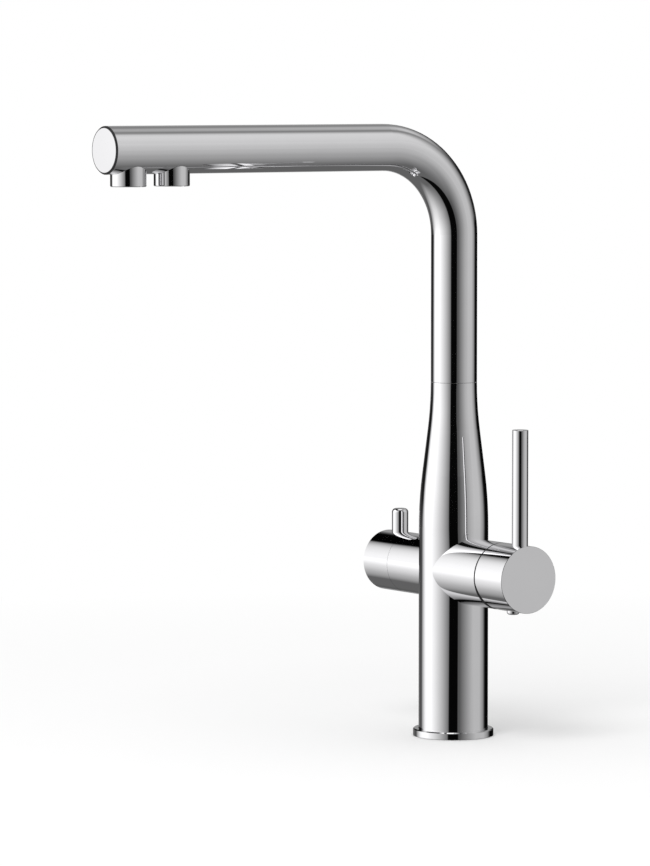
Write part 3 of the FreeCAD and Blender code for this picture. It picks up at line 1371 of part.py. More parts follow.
pin = new_body("filter_pin", place=(f"-{PIN_POSITION}", "0", "handle_height"))
turned(pin, [
    ("0", f"{PIN_SEAT} - pin_stub_length"),
    ("pin_stub_diameter / 2", f"{PIN_SEAT} - pin_stub_length"),
    ("pin_stub_diameter / 2", PIN_SEAT),
    ("pin_diameter / 2", PIN_SEAT),
    ("pin_diameter / 2", "pin_top - pin_edge"),
    ("pin_diameter / 2 - pin_edge", "pin_top", "pin_edge", 1),
    ("0", "pin_top"),
])

knob_screw = new_body("filter_set_screw", DOWNWARD, (f"-{PIN_POSITION}", "0", "handle_height"))
KNOB_SCREW_TIP = "(spindle_diameter / 2 + shaft_gap)"
turned(knob_screw, [
    ("0", KNOB_SCREW_TIP),
    ("knob_screw_diameter / 2", KNOB_SCREW_TIP),
    ("knob_screw_diameter / 2", f"{KNOB_SCREW_TIP} + knob_screw_length"),
    ("0", f"{KNOB_SCREW_TIP} + knob_screw_length"),
])
hex_socket(knob_screw, f"{KNOB_SCREW_TIP} + knob_screw_length", "knob_key_width", "screw_key_depth")

document.recompute()

faults = []
for item in document.Objects:
    if {"Invalid", "Error"} & set(item.State):
        faults.append(f"{item.Label}: {item.State}")
for piece in pieces:
    if piece.Shape.isNull() or not piece.Shape.isValid() or not piece.Shape.Solids:
        faults.append(f"{piece.Label}: no valid solid")
if faults:
    raise RuntimeError("\n".join(faults))

os.makedirs("parts", exist_ok=True)
for piece in pieces:
    piece.Shape.exportStep(f"parts/{piece.Label}.step")
    print(f"{piece.Label}: {len(piece.Shape.Solids)} solid(s), {piece.Shape.Volume:.1f} mm3")
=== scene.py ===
import json
import math

import bmesh
import bpy
from bpy.props import FloatProperty, FloatVectorProperty, IntProperty, PointerProperty
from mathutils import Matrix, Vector


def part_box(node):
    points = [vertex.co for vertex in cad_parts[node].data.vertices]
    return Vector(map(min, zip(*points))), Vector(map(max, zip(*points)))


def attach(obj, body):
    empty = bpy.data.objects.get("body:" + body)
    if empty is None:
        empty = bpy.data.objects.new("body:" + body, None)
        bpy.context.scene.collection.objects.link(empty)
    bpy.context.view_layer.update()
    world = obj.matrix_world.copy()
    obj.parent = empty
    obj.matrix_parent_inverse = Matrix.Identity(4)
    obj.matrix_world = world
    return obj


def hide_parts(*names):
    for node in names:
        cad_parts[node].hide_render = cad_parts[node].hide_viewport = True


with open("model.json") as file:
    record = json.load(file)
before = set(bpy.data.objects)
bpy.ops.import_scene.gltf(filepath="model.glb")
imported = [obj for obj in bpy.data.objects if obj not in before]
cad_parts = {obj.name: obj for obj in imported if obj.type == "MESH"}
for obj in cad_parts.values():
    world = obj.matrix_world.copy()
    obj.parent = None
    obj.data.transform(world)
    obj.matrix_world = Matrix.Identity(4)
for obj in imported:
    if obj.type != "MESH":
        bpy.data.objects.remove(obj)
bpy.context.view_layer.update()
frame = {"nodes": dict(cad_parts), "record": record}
MOUNTS = {mount["name"]: mount["dims"] for mount in frame["record"]["mounts"]}

bl_info = {
    "name": "Kitchen mixer tap",
    "version": (1, 0, 0),
    "blender": (4, 5, 0),
    "location": "View3D > Sidebar > Tap",
    "description": "Finishes, small fittings and photo studio for a three-way kitchen mixer tap",
    "category": "Object",
}

MM = 0.001

# Direction from the tap to the camera and to the camera's right, seen from above
TO_CAMERA = (0.811, -0.585, 0.0)
TO_RIGHT = (0.585, 0.811, 0.0)

# Panels of the studio that the chrome mirrors, in degrees round the tap
# Azimuth counts from the camera, to its right; each panel rises, stays full and falls at four angles
ALL_ROUND = (-182, -181, 181, 182)
LEFT_SOFTBOX = {"level": 1.2, "azimuth": (-132, -107, -80, -11), "elevation": (-74, 4, 44, 50)}
RIGHT_SOFTBOX = {"level": 0.45, "azimuth": (20, 68, 97, 131), "elevation": (-65, -2, 24, 57)}
HIGH_RIGHT_PANEL = {"level": 0.37, "azimuth": (58, 79, 104, 123), "elevation": (27, 50, 55, 70)}
HIGH_BACK_PANEL = {"level": 0.34, "azimuth": (131, 142, 155, 172), "elevation": (23, 38, 43, 65)}
CEILING = {"level": 0.14, "azimuth": ALL_ROUND, "elevation": (7, 30, 91, 92)}
OVERHEAD_PANEL = {"level": 0.9, "azimuth": ALL_ROUND, "elevation": (68, 74, 91, 92)}
FLOOR_BOUNCE = {"level": 0.035, "azimuth": ALL_ROUND, "elevation": (-92, -91, -33, -25)}
LIT_PANELS = (
    LEFT_SOFTBOX, RIGHT_SOFTBOX, HIGH_RIGHT_PANEL, HIGH_BACK_PANEL,
    CEILING, OVERHEAD_PANEL, FLOOR_BOUNCE,
)

# Glow straight behind the tap, whose azimuth counts alike to both sides, and the light of the bare room
BACK_GLOW = {"level": 0.2, "azimuth": (141, 179, 204, 205), "elevation": (-24, -23, 21, 30)}
ROOM_LEVEL = 0.09

# Black flags and thin veils that take light away from the panels
CAMERA_FLAG = {"level": 0.98, "azimuth": (-17, -14, 13, 16), "elevation": (-90, -85, 46, 64)}
RIGHT_FLAG = {"level": 0.98, "azimuth": (117, 130, 165, 179), "elevation": (-27, -8, 1, 3)}
HIGH_RIGHT_FLAG = {"level": 0.9, "azimuth": (130, 138, 172, 179), "elevation": (1, 3, 15, 25)}
LEFT_FLAG = {"level": 0.98, "azimuth": (-172, -163, -135, -131), "elevation": (14, 23, 38, 70)}
LOW_LEFT_FLAG = {"level": 0.9, "azimuth": (-176, -155, -136, -132), "elevation": (-9, -1, 36, 37)}
LEFT_EDGE_FLAG = {"level": 0.9, "azimuth": (-140, -134, -126, -119), "elevation": (-7, -2, 6, 12)}
LOW_LEFT_VEIL = {"level": 0.12, "azimuth": (-124, -117, -105, -97), "elevation": (-62, -34, -10, -3)}
HIGH_LEFT_VEIL = {"level": 0.12, "azimuth": (-124, -117, -105, -97), "elevation": (1, 6, 18, 32)}
TOP_FLAG = {"level": 0.95, "azimuth": (-140, -132, 14, 26), "elevation": (46, 52, 66, 70)}
FLAGS = (
    CAMERA_FLAG, RIGHT_FLAG, HIGH_RIGHT_FLAG, LEFT_FLAG, LOW_LEFT_FLAG, LEFT_EDGE_FLAG,
    LOW_LEFT_VEIL, HIGH_LEFT_VEIL, TOP_FLAG,
)

# Tapped holes in the underside: the fixing stud's, and the three inlets at angles round it
STUD_RADIUS = MOUNTS["fixing_stud"]["r_mm"] * MM
STUD_DEPTH = MOUNTS["fixing_stud"]["length_mm"] * MM
INLET_CIRCLE = MOUNTS["hose_inlets"]["pcd_mm"] / 2 * MM
INLET_RADIUS = MOUNTS["hose_inlets"]["hole_r_mm"] * MM
INLET_DEPTH = 10.0 * MM
INLET_ANGLES = {"hot": 60.0, "cold": -60.0, "filter": 180.0}

# Ridge of a thread: its section's corners, and its size and stand-off from the bore's wall in pitches
RIDGE_CORNERS = 3
RIDGE_SIZE = 0.48
RIDGE_STAND_OFF = 0.2

# Steps that make one turn of a thread, and the turns of plain bore left at its ends
STEPS_PER_TURN = 24
PLAIN_TURNS = 2

# Bevelled rim of the spout's end cap, and the gap between it and the cap's face
CAP_BEVEL_WIDTH = 0.75 * MM
CAP_BEVEL_DEPTH = 0.92 * MM
CAP_GAP_WIDTH = 0.45 * MM

# Seam between the mixer's handle and its boss, and the boss's domed end: its bore and its slope inwards
MIXER_SEAM = 1.2 * MM
BOSS_BORE_RADIUS = 18.45 * MM
BOSS_SLOPE = 0.95

# Space left between a seal and the metal beside it
SEAL_SPACE = 0.03 * MM

# Aerator rings: the part of each step that a key slot takes, the rim left round it, and the outer bevel
SLOT_SHARE = 0.4
SLOT_RIM = 0.25 * MM
AERATOR_BEVEL = 0.25 * MM
BEVEL_SEGMENTS = 3

# Sides of the round pieces, and the angle up to which neighbouring faces are shaded as one
SEAL_SIDES = 128
AERATOR_SIDES = 96
SMOOTH_ANGLE = math.radians(35.0)

# For picking faces and edges: how far along the axis an end's normal points at least, and two margins
END_FACING = 0.9
ROUND_MARGIN = 0.05 * MM
SAME_PLACE = 0.001 * MM

# Range in which most of a noise pattern lies
NOISE_LOW = 0.3
NOISE_HIGH = 0.7

# Places of a Mix node's two inputs and its result, for plain values and for colours
MIX_VALUES = (2, 3)
MIX_VALUE_RESULT = 0
MIX_COLOURS = (6, 7)
MIX_COLOUR_RESULT = 2

# Floor: how far under the tap it lies, and from where to where it runs out to plain white
FLOOR_DROP = 0.3 * MM
FLOOR_FADE_START = 0.25
FLOOR_FADE_END = 0.8
WHITE = (1.0, 1.0, 1.0, 1.0)

# Camera's sensor in millimetres, and the nearest and farthest that it sees
SENSOR_WIDTH = 36.0
CLIP_NEAR = 0.05
CLIP_FAR = 30.0

# Finishes by slot, filled when they are made
FINISHES = {}


class TapFinishes(bpy.types.PropertyGroup):
    """Colours and polish of the tap's materials."""

    chrome_colour: FloatVectorProperty(
        name="Chrome", description="Colour of the polished chrome", subtype="COLOR",
        size=3, min=0.0, max=1.0, default=(0.930, 0.927, 0.940),
    )
    chrome_roughness: FloatProperty(
        name="Chrome polish", description="Roughness of the polished chrome, lower is shinier",
        subtype="FACTOR", min=0.0, max=1.0, default=0.03,
    )
    brass_colour: FloatVectorProperty(
        name="Brass", description="Colour of the machined brass", subtype="COLOR",
        size=3, min=0.0, max=1.0, default=(0.72, 0.52, 0.26),
    )
    copper_colour: FloatVectorProperty(
        name="Copper", description="Colour of the drawn copper pipes", subtype="COLOR",
        size=3, min=0.0, max=1.0, default=(0.74, 0.40, 0.27),
    )
    steel_colour: FloatVectorProperty(
        name="Stainless steel", description="Colour of screws, pins and clips", subtype="COLOR",
        size=3, min=0.0, max=1.0, default=(0.60, 0.60, 0.60),
    )
    rubber_colour: FloatVectorProperty(
        name="Rubber", description="Colour of gaskets and seals", subtype="COLOR",
        size=3, min=0.0, max=1.0, default=(0.022, 0.022, 0.023),
    )
    ceramic_colour: FloatVectorProperty(
        name="Ceramic", description="Colour of the valve discs", subtype="COLOR",
        size=3, min=0.0, max=1.0, default=(0.82, 0.81, 0.78),
    )
    cartridge_colour: FloatVectorProperty(
        name="Cartridge plastic", description="Colour of the cartridge's plastic", subtype="COLOR",
        size=3, min=0.0, max=1.0, default=(0.62, 0.63, 0.64),
    )
    glide_colour: FloatVectorProperty(
        name="Glide plastic", description="Colour of the swivel's glide ring", subtype="COLOR",
        size=3, min=0.0, max=1.0, default=(0.72, 0.72, 0.70),
    )
    aerator_colour: FloatVectorProperty(
        name="Aerator plastic", description="Colour of the aerators", subtype="COLOR",
        size=3, min=0.0, max=1.0, default=(0.30, 0.31, 0.32),
    )


class TapFittings(bpy.types.PropertyGroup):
    """Sizes of the end cap's seal and the mixer's slide ring, whose black is partly painted shade in their
    gaps, and of the aerators' rings and the threads.
    """

    # The seal's lip lays black rubber over the chrome bevel, which is a painted dark reflection.
    shade_seal_lip: FloatProperty(
        name="Seal lip", description="Thickness of the end cap seal's lip over the bevel",
        unit="LENGTH", default=0.04 * MM,
    )
    # The slide ring's black rubber is partly a ring and partly painted shade in the seam between boss and
    # handle.
    slide_ring: FloatProperty(
        name="Slide ring", description="Thickness of the ring between the mixer's boss and handle",
        unit="LENGTH", default=0.4 * MM,
    )
    key_slots: IntProperty(
        name="Key slots", description="Slots for the aerator key round each outlet",
        min=2, max=16, default=8,
    )
    slot_depth: FloatProperty(
        name="Slot depth", description="How deep the key slots are", unit="LENGTH", default=1.4 * MM,
    )
    aerator_wall: FloatProperty(
        name="Aerator wall", description="Wall of the aerator's ring", unit="LENGTH", default=1.4 * MM,
    )
    inlet_pitch: FloatProperty(
        name="Inlet pitch", description="Pitch of the hose threads", unit="LENGTH", default=1.0 * MM,
    )
    stud_pitch: FloatProperty(
        name="Stud pitch", description="Pitch of the fixing stud's thread", unit="LENGTH",
        default=1.25 * MM,
    )


class TapStage(bpy.types.PropertyGroup):
    """Camera, lamp, floor and room light round the tap."""

    camera_place: FloatVectorProperty(
        name="Camera place", description="Where the camera stands", subtype="TRANSLATION",
        unit="LENGTH", size=3, default=(2.3027, -1.6609, 0.4017),
    )
    camera_turn: FloatVectorProperty(
        name="Camera turn", description="How the camera is turned", subtype="EULER",
        unit="ROTATION", size=3, default=(math.radians(85.616), 0.0, math.radians(55.773)),
    )
    camera_lens: FloatProperty(
        name="Camera lens", description="Focal length in millimetres", min=10.0, default=195.23,
    )
    floor_radius: FloatProperty(
        name="Floor radius", description="Half width of the floor", unit="LENGTH", default=6.0,
    )
    floor_colour: FloatVectorProperty(
        name="Floor", description="Colour of the floor", subtype="COLOR",
        size=3, min=0.0, max=1.0, default=(0.92, 0.92, 0.92),
    )
    lamp_place: FloatVectorProperty(
        name="Lamp place", description="Where the overhead softbox hangs", subtype="TRANSLATION",
        unit="LENGTH", size=3, default=(0.9, -1.5, 2.2),
    )
    lamp_aim: FloatVectorProperty(
        name="Lamp aim", description="The place that the overhead softbox faces",
        subtype="TRANSLATION", unit="LENGTH", size=3, default=(0.0, -0.1, 0.15),
    )
    lamp_size: FloatProperty(
        name="Lamp size", description="Width of the overhead softbox", unit="LENGTH", default=1.4,
    )
    lamp_power: FloatProperty(
        name="Lamp power", description="Power of the overhead softbox", unit="POWER", default=24.0,
    )
    room_light: FloatProperty(
        name="Room light", description="Even light from all round", min=0.0, default=0.86,
    )


def add_node(tree, kind, inputs=None, **settings):
    """Adds a node, makes its settings and feeds its inputs from sockets or plain values."""
    made = tree.nodes.new(kind)
    for name, value in settings.items():
        setattr(made, name, value)
    for key, value in (inputs or {}).items():
        if isinstance(value, bpy.types.NodeSocket):
            tree.links.new(value, made.inputs[key])
        else:
            made.inputs[key].default_value = value
    return made


def math_node(tree, operation, first, second=0.0):
    """One sum on two values or sockets."""
    return add_node(tree, "ShaderNodeMath", {0: first, 1: second}, operation=operation).outputs[0]


def remap(tree, value, low, high, to_low=0.0, to_high=1.0):
    """Maps a value's range onto another, and holds it at the ends."""
    ranges = {"Value": value, "From Min": low, "From Max": high, "To Min": to_low, "To Max": to_high}
    return add_node(tree, "ShaderNodeMapRange", ranges).outputs["Result"]


def spread(tree, noise, to_low=0.0, to_high=1.0):
    """Maps the range in which most of a noise pattern lies."""
    return remap(tree, noise, NOISE_LOW, NOISE_HIGH, to_low, to_high)


def mix_values(tree, share, first, second):
    """The first value or socket where the share is 0, and the second where it is 1."""
    inputs = {"Factor": share, MIX_VALUES[0]: first, MIX_VALUES[1]: second}
    return add_node(tree, "ShaderNodeMix", inputs).outputs[MIX_VALUE_RESULT]


def tint(tree, share, colour, darker):
    """The colour, and the same colour made darker where the share is low."""
    shade = tuple(part * darker for part in colour)
    inputs = {"Factor": share, MIX_COLOURS[0]: (*shade, 1.0), MIX_COLOURS[1]: (*colour, 1.0)}
    return add_node(tree, "ShaderNodeMix", inputs, data_type="RGBA").outputs[MIX_COLOUR_RESULT]


def new_material(name, metallic=0.0):
    """A node material with its shader, and its object coordinates."""
    material = bpy.data.materials.new(name)
    material.use_nodes = True
    tree = material.node_tree
    shader = tree.nodes["Principled BSDF"]
    shader.inputs["Metallic"].default_value = metallic
    place = add_node(tree, "ShaderNodeTexCoord").outputs["Object"]
    return material, tree, shader, place


def stretched(tree, place, scale):
    """The coordinates scaled by a different amount along each axis."""
    return add_node(tree, "ShaderNodeMapping", {"Vector": place, "Scale": scale}).outputs["Vector"]


def speckle(tree, place, scale=1.0, detail=3.0):
    """A noise pattern with so many specks to a metre."""
    inputs = {"Vector": place, "Scale": scale, "Detail": detail}
    return add_node(tree, "ShaderNodeTexNoise", inputs).outputs["Fac"]


def paint(tree, shader, colour, roughness):
    """Feeds the shader its colour and its roughness."""
    tree.links.new(colour, shader.inputs["Base Color"])
    tree.links.new(roughness, shader.inputs["Roughness"])


def relief(tree, shader, height, strength, depth):
    """Gives the shader a bump of that depth from the height."""
    inputs = {"Height": height, "Strength": strength, "Distance": depth}
    bump = add_node(tree, "ShaderNodeBump", inputs)
    tree.links.new(bump.outputs["Normal"], shader.inputs["Normal"])


def polished_chrome(finishes):
    """Mirror chrome with the faint unevenness that buffing leaves."""
    material, tree, shader, place = new_material("polished_chrome", metallic=1.0)
    polish = finishes.chrome_roughness
    clouds = speckle(tree, place, scale=55.0)
    colour = tint(tree, spread(tree, clouds), finishes.chrome_colour, darker=0.985)
    paint(tree, shader, colour, spread(tree, clouds, 0.7 * polish, 1.3 * polish))
    ripple = speckle(tree, place, scale=1400.0, detail=2.0)
    relief(tree, shader, ripple, strength=0.05, depth=0.01 * MM)
    return material


def machined_brass(finishes):
    """Turned brass, with fine tool marks and a little tarnish."""
    material, tree, shader, place = new_material("machined_brass", metallic=1.0)
    marks = speckle(tree, stretched(tree, place, scale=(300.0, 300.0, 4000.0)))
    tarnish = speckle(tree, place, scale=120.0)
    colour = tint(tree, spread(tree, tarnish), finishes.brass_colour, darker=0.8)
    paint(tree, shader, colour, spread(tree, marks, 0.2, 0.38))
    relief(tree, shader, marks, strength=0.25, depth=0.05 * MM)
    return material


def copper_pipe(finishes):
    """Drawn copper, with lines along the pipe and darker spots."""
    material, tree, shader, place = new_material("copper_pipe", metallic=1.0)
    lines = speckle(tree, stretched(tree, place, scale=(3500.0, 3500.0, 60.0)))
    spots = speckle(tree, place, scale=160.0)
    colour = tint(tree, remap(tree, spots, low=0.35, high=0.6), finishes.copper_colour, darker=0.65)
    paint(tree, shader, colour, spread(tree, spots, 0.42, 0.24))
    relief(tree, shader, lines, strength=0.2, depth=0.04 * MM)
    return material


def stainless_steel(finishes):
    """Bright stainless steel with fine brushed lines."""
    material, tree, shader, place = new_material("stainless_steel", metallic=1.0)
    brushing = speckle(tree, stretched(tree, place, scale=(900.0, 5000.0, 900.0)))
    colour = tint(tree, spread(tree, brushing), finishes.steel_colour, darker=0.86)
    paint(tree, shader, colour, spread(tree, brushing, 0.18, 0.34))
    relief(tree, shader, brushing, strength=0.15, depth=0.04 * MM)
    return material


def black_rubber(finishes):
    """Matt moulded rubber with a fine grain and a dusty bloom."""
    material, tree, shader, place = new_material("black_rubber")
    grain = speckle(tree, place, scale=2600.0)
    bloom = speckle(tree, place, scale=140.0)
    colour = tint(tree, spread(tree, bloom), finishes.rubber_colour, darker=0.6)
    paint(tree, shader, colour, spread(tree, bloom, 0.62, 0.8))
    relief(tree, shader, grain, strength=0.4, depth=0.08 * MM)
    return material


def white_ceramic(finishes):
    """Lapped ceramic, very even, with a few grey specks."""
    material, tree, shader, place = new_material("white_ceramic")
    specks = speckle(tree, place, scale=1800.0)
    colour = tint(tree, remap(tree, specks, low=0.22, high=0.34), finishes.ceramic_colour, darker=0.75)
    paint(tree, shader, colour, spread(tree, specks, 0.18, 0.28))
    return material


def moulded_plastic(name, colour, smoothest, roughest):
    """Moulded plastic with a fine spark-eroded grain."""
    material, tree, shader, place = new_material(name)
    grain = speckle(tree, place, scale=2200.0)
    flow = speckle(tree, stretched(tree, place, scale=(60.0, 60.0, 240.0)))
    shade = tint(tree, spread(tree, flow), colour, darker=0.9)
    paint(tree, shader, shade, spread(tree, grain, smoothest, roughest))
    relief(tree, shader, grain, strength=0.2, depth=0.05 * MM)
    return material


def cartridge_plastic(finishes):
    """Grey glass-filled plastic of the cartridge."""
    colour = finishes.cartridge_colour
    return moulded_plastic("cartridge_plastic", colour, smoothest=0.42, roughest=0.58)


def glide_plastic(finishes):
    """Waxy pale plastic of the swivel's ring."""
    return moulded_plastic("glide_plastic", finishes.glide_colour, smoothest=0.3, roughest=0.42)


def aerator_plastic(finishes):
    """Dark grey plastic of the aerators."""
    return moulded_plastic("aerator_plastic", finishes.aerator_colour, smoothest=0.34, roughest=0.48)


FINISH_MAKERS = {
    "polished_chrome": polished_chrome,
    "machined_brass": machined_brass,
    "copper_pipe": copper_pipe,
    "stainless_steel": stainless_steel,
    "black_rubber": black_rubber,
    "white_ceramic": white_ceramic,
    "cartridge_plastic": cartridge_plastic,
    "glide_plastic": glide_plastic,
    "aerator_plastic": aerator_plastic,
}


class TAP_OT_finishes(bpy.types.Operator):
    """Gives every piece of the tap its finish"""

    bl_idname = "tap.finishes"
    bl_label = "Finishes"

    def execute(self, context):
        finishes = context.scene.tap_finishes
        for name, maker in FINISH_MAKERS.items():
            FINISHES[name] = maker(finishes)
        for entry in frame["record"]["subparts"]:
            piece = frame["nodes"][entry["node"]]
            for place in piece.material_slots:
                place.material = FINISHES[entry["material_slot"]]
        return {"FINISHED"}


def add_cylinder(context, sides, radius, depth, place, turn=(0.0, 0.0, 0.0)):
    """A closed cylinder, selected by itself and in edit mode."""
    bpy.ops.object.select_all(action="DESELECT")
    bpy.ops.mesh.primitive_cylinder_add(
        vertices=sides, radius=radius, depth=depth, end_fill_type="NGON", location=place, rotation=turn,
    )
    bpy.ops.object.mode_set(mode="EDIT")
    return context.object


def pick_faces(piece, test):
    """In edit mode, selects only the faces whose middle and normal pass the test."""
    bpy.ops.mesh.select_mode(type="FACE")
    bpy.ops.mesh.select_all(action="DESELECT")
    mesh = bmesh.from_edit_mesh(piece.data)
    for face in mesh.faces:
        face.select_set(bool(test(face.calc_center_median(), face.normal)))
    bmesh.update_edit_mesh(piece.data)


def pick_edges(piece, test):
    """In edit mode, selects only the edges whose two ends both pass the test."""
    bpy.ops.mesh.select_mode(type="EDGE")
    bpy.ops.mesh.select_all(action="DESELECT")
    mesh = bmesh.from_edit_mesh(piece.data)
    for edge in mesh.edges:
        edge.select_set(all(test(corner.co) for corner in edge.verts))
    bmesh.update_edit_mesh(piece.data)


def hollow(piece, wall):
    """In edit mode, opens a closed cylinder into a ring with that wall."""
    pick_faces(piece, lambda place, normal: abs(normal.z) > END_FACING)
    bpy.ops.mesh.inset(thickness=wall, use_boundary=True)
    bpy.ops.mesh.bridge_edge_loops()


def settle(piece, name, slot):
    """Puts the piece's place into its mesh, smooths it and gives it its finish."""
    bpy.ops.object.transform_apply(location=True, rotation=True, scale=True)
    bpy.ops.object.shade_smooth_by_angle(angle=SMOOTH_ANGLE)
    piece.name = name
    piece.data.name = name
    piece.data.materials.clear()
    piece.data.materials.append(FINISHES[slot])


def copy_piece(context, piece, shift):
    """A copy with its own mesh, moved by the shift."""
    bpy.ops.object.select_all(action="DESELECT")
    piece.select_set(True)
    context.view_layer.objects.active = piece
    bpy.ops.object.duplicate(linked=False)
    made = context.object
    made.location = shift
    return made


class TAP_OT_cap_shade_seal(bpy.types.Operator):
    """Makes the black seal in the gap round the end cap's face, with a lip over the bevelled rim. Its black
    rubber is partly a seal and partly painted shade in the gap, and on the bevel it is a painted dark
    reflection.
    """

    bl_idname = "tap.cap_seal"
    bl_label = "End cap seal"

    def execute(self, context):
        low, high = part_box("spout_end_cap")
        half = CAP_BEVEL_DEPTH / 2
        middle = (low + high) / 2
        middle.y = low.y + half
        outer = (high.x - low.x) / 2
        rim = outer - CAP_BEVEL_WIDTH
        crest = rim + context.scene.tap_fittings.shade_seal_lip
        inner = rim - CAP_GAP_WIDTH + SEAL_SPACE
        seal = add_cylinder(context, SEAL_SIDES, outer, CAP_BEVEL_DEPTH, middle, (math.pi / 2, 0.0, 0.0))
        # In front, one ring for the lip and one for the seal; at the back one for both
        pick_faces(seal, lambda place, normal: normal.z > END_FACING)
        bpy.ops.mesh.inset(thickness=outer - crest, use_boundary=True)
        bpy.ops.mesh.inset(thickness=crest - inner, use_boundary=True)
        pick_faces(seal, lambda place, normal: normal.z < -END_FACING)
        bpy.ops.mesh.inset(thickness=outer - inner, use_boundary=True)
        # The discs inside the rings become the hole for the cap's face
        pick_faces(seal, lambda place, normal: abs(normal.z) > END_FACING and place.xy.length < inner / 2)
        bpy.ops.mesh.bridge_edge_loops()
        # The lip's outer edge goes back along the bevel
        pick_edges(seal, lambda place: place.z > half - SAME_PLACE and place.xy.length > (crest + outer) / 2)
        bpy.ops.transform.translate(value=(0.0, CAP_BEVEL_DEPTH - 2 * SEAL_SPACE, 0.0))
        bpy.ops.object.mode_set(mode="OBJECT")
        settle(seal, "end_cap_shade_seal", "black_rubber")
        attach(seal, "spout")
        return {"FINISHED"}


class TAP_OT_shade_slide_ring(bpy.types.Operator):
    """Makes the black ring that lies on the boss's domed end, in the seam under the mixer's handle. Its
    black rubber is partly a ring and partly painted shade in the seam.
    """

    bl_idname = "tap.slide_ring"
    bl_label = "Slide ring"

    def execute(self, context):
        thickness = context.scene.tap_fittings.slide_ring
        low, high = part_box("mixer_handle_shell")
        middle = (low + high) / 2
        middle.x = low.x - MIXER_SEAM + 2 * SEAL_SPACE + thickness / 2
        outer = (high.z - low.z) / 2 - SEAL_SPACE
        width = outer - BOSS_BORE_RADIUS - SEAL_SPACE
        ring = add_cylinder(context, SEAL_SIDES, outer, thickness, middle, (0.0, math.pi / 2, 0.0))
        hollow(ring, width)
        pick_edges(ring, lambda place: place.xy.length < outer - width / 2)
        bpy.ops.transform.translate(value=(BOSS_SLOPE * width, 0.0, 0.0))
        bpy.ops.object.mode_set(mode="OBJECT")
        settle(ring, "mixer_shade_slide_ring", "black_rubber")
        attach(ring, "tap_body")
        return {"FINISHED"}


class TAP_OT_aerators(bpy.types.Operator):
    """Makes the two aerators' rings, with slots for their key"""

    bl_idname = "tap.aerators"
    bl_label = "Aerators"

    def execute(self, context):
        fittings = context.scene.tap_fittings
        low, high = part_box("main_aerator_shell")
        radius = (high.x - low.x) / 2
        half = (high.z - low.z) / 2
        step = math.tau / fittings.key_slots

        def in_slot(place, normal):
            """Whether a face of the ring's lower end lies where a slot is."""
            return normal.z < -END_FACING and math.atan2(place.y, place.x) % step < SLOT_SHARE * step

        def on_rim(place):
            """Whether a corner lies on the lower end's outer edge."""
            return place.z < -half + SAME_PLACE and place.xy.length > radius - ROUND_MARGIN

        ring = add_cylinder(context, AERATOR_SIDES, radius, 2 * half, (low + high) / 2)
        hollow(ring, fittings.aerator_wall)
        pick_faces(ring, in_slot)
        bpy.ops.mesh.inset(thickness=SLOT_RIM, use_boundary=True)
        bpy.ops.mesh.extrude_region_move(TRANSFORM_OT_translate={"value": (0.0, 0.0, fittings.slot_depth)})
        pick_edges(ring, on_rim)
        bpy.ops.mesh.bevel(offset=AERATOR_BEVEL, segments=BEVEL_SEGMENTS, affect="EDGES")
        bpy.ops.object.mode_set(mode="OBJECT")
        settle(ring, "main_aerator_ring", "aerator_plastic")
        other = copy_piece(context, ring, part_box("filter_aerator_shell")[0] - low)
        settle(other, "filter_aerator_ring", "aerator_plastic")
        for piece, node in ((ring, "main_aerator_shell"), (other, "filter_aerator_shell")):
            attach(piece, "spout")
            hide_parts(node)
        return {"FINISHED"}


def inlet_place(name):
    """The mouth of an inlet in the underside."""
    angle = math.radians(INLET_ANGLES[name])
    return INLET_CIRCLE * Vector((math.cos(angle), math.sin(angle), 0.0))


def thread_ridge(context, place, radius, pitch, height):
    """A helical ridge on a bore's wall, from its mouth up."""
    bpy.ops.object.select_all(action="DESELECT")
    bpy.ops.mesh.primitive_circle_add(
        vertices=RIDGE_CORNERS, radius=RIDGE_SIZE * pitch, location=place, rotation=(0.0, 0.0, math.pi / 2),
    )
    ridge = context.object
    bpy.ops.object.transform_apply(location=False, rotation=True, scale=False)
    ridge.rotation_euler = (math.pi / 2, 0.0, 0.0)
    bpy.ops.object.transform_apply(location=False, rotation=True, scale=False)
    bpy.ops.object.mode_set(mode="EDIT")
    bpy.ops.mesh.select_all(action="SELECT")
    bpy.ops.transform.translate(value=(radius - RIDGE_STAND_OFF * pitch, 0.0, pitch))
    bpy.ops.object.mode_set(mode="OBJECT")
    turns = ridge.modifiers.new("turns", "SCREW")
    turns.axis = "Z"
    turns.screw_offset = pitch
    turns.iterations = int(height / pitch) - PLAIN_TURNS
    turns.steps = STEPS_PER_TURN
    turns.render_steps = STEPS_PER_TURN
    turns.use_merge_vertices = False
    bpy.ops.object.modifier_apply(modifier=turns.name)
    bpy.ops.object.mode_set(mode="EDIT")
    bpy.ops.mesh.select_all(action="SELECT")
    bpy.ops.mesh.remove_doubles(threshold=SAME_PLACE)
    bpy.ops.mesh.fill_holes(sides=RIDGE_CORNERS)
    bpy.ops.mesh.normals_make_consistent(inside=False)
    bpy.ops.object.mode_set(mode="OBJECT")
    return ridge


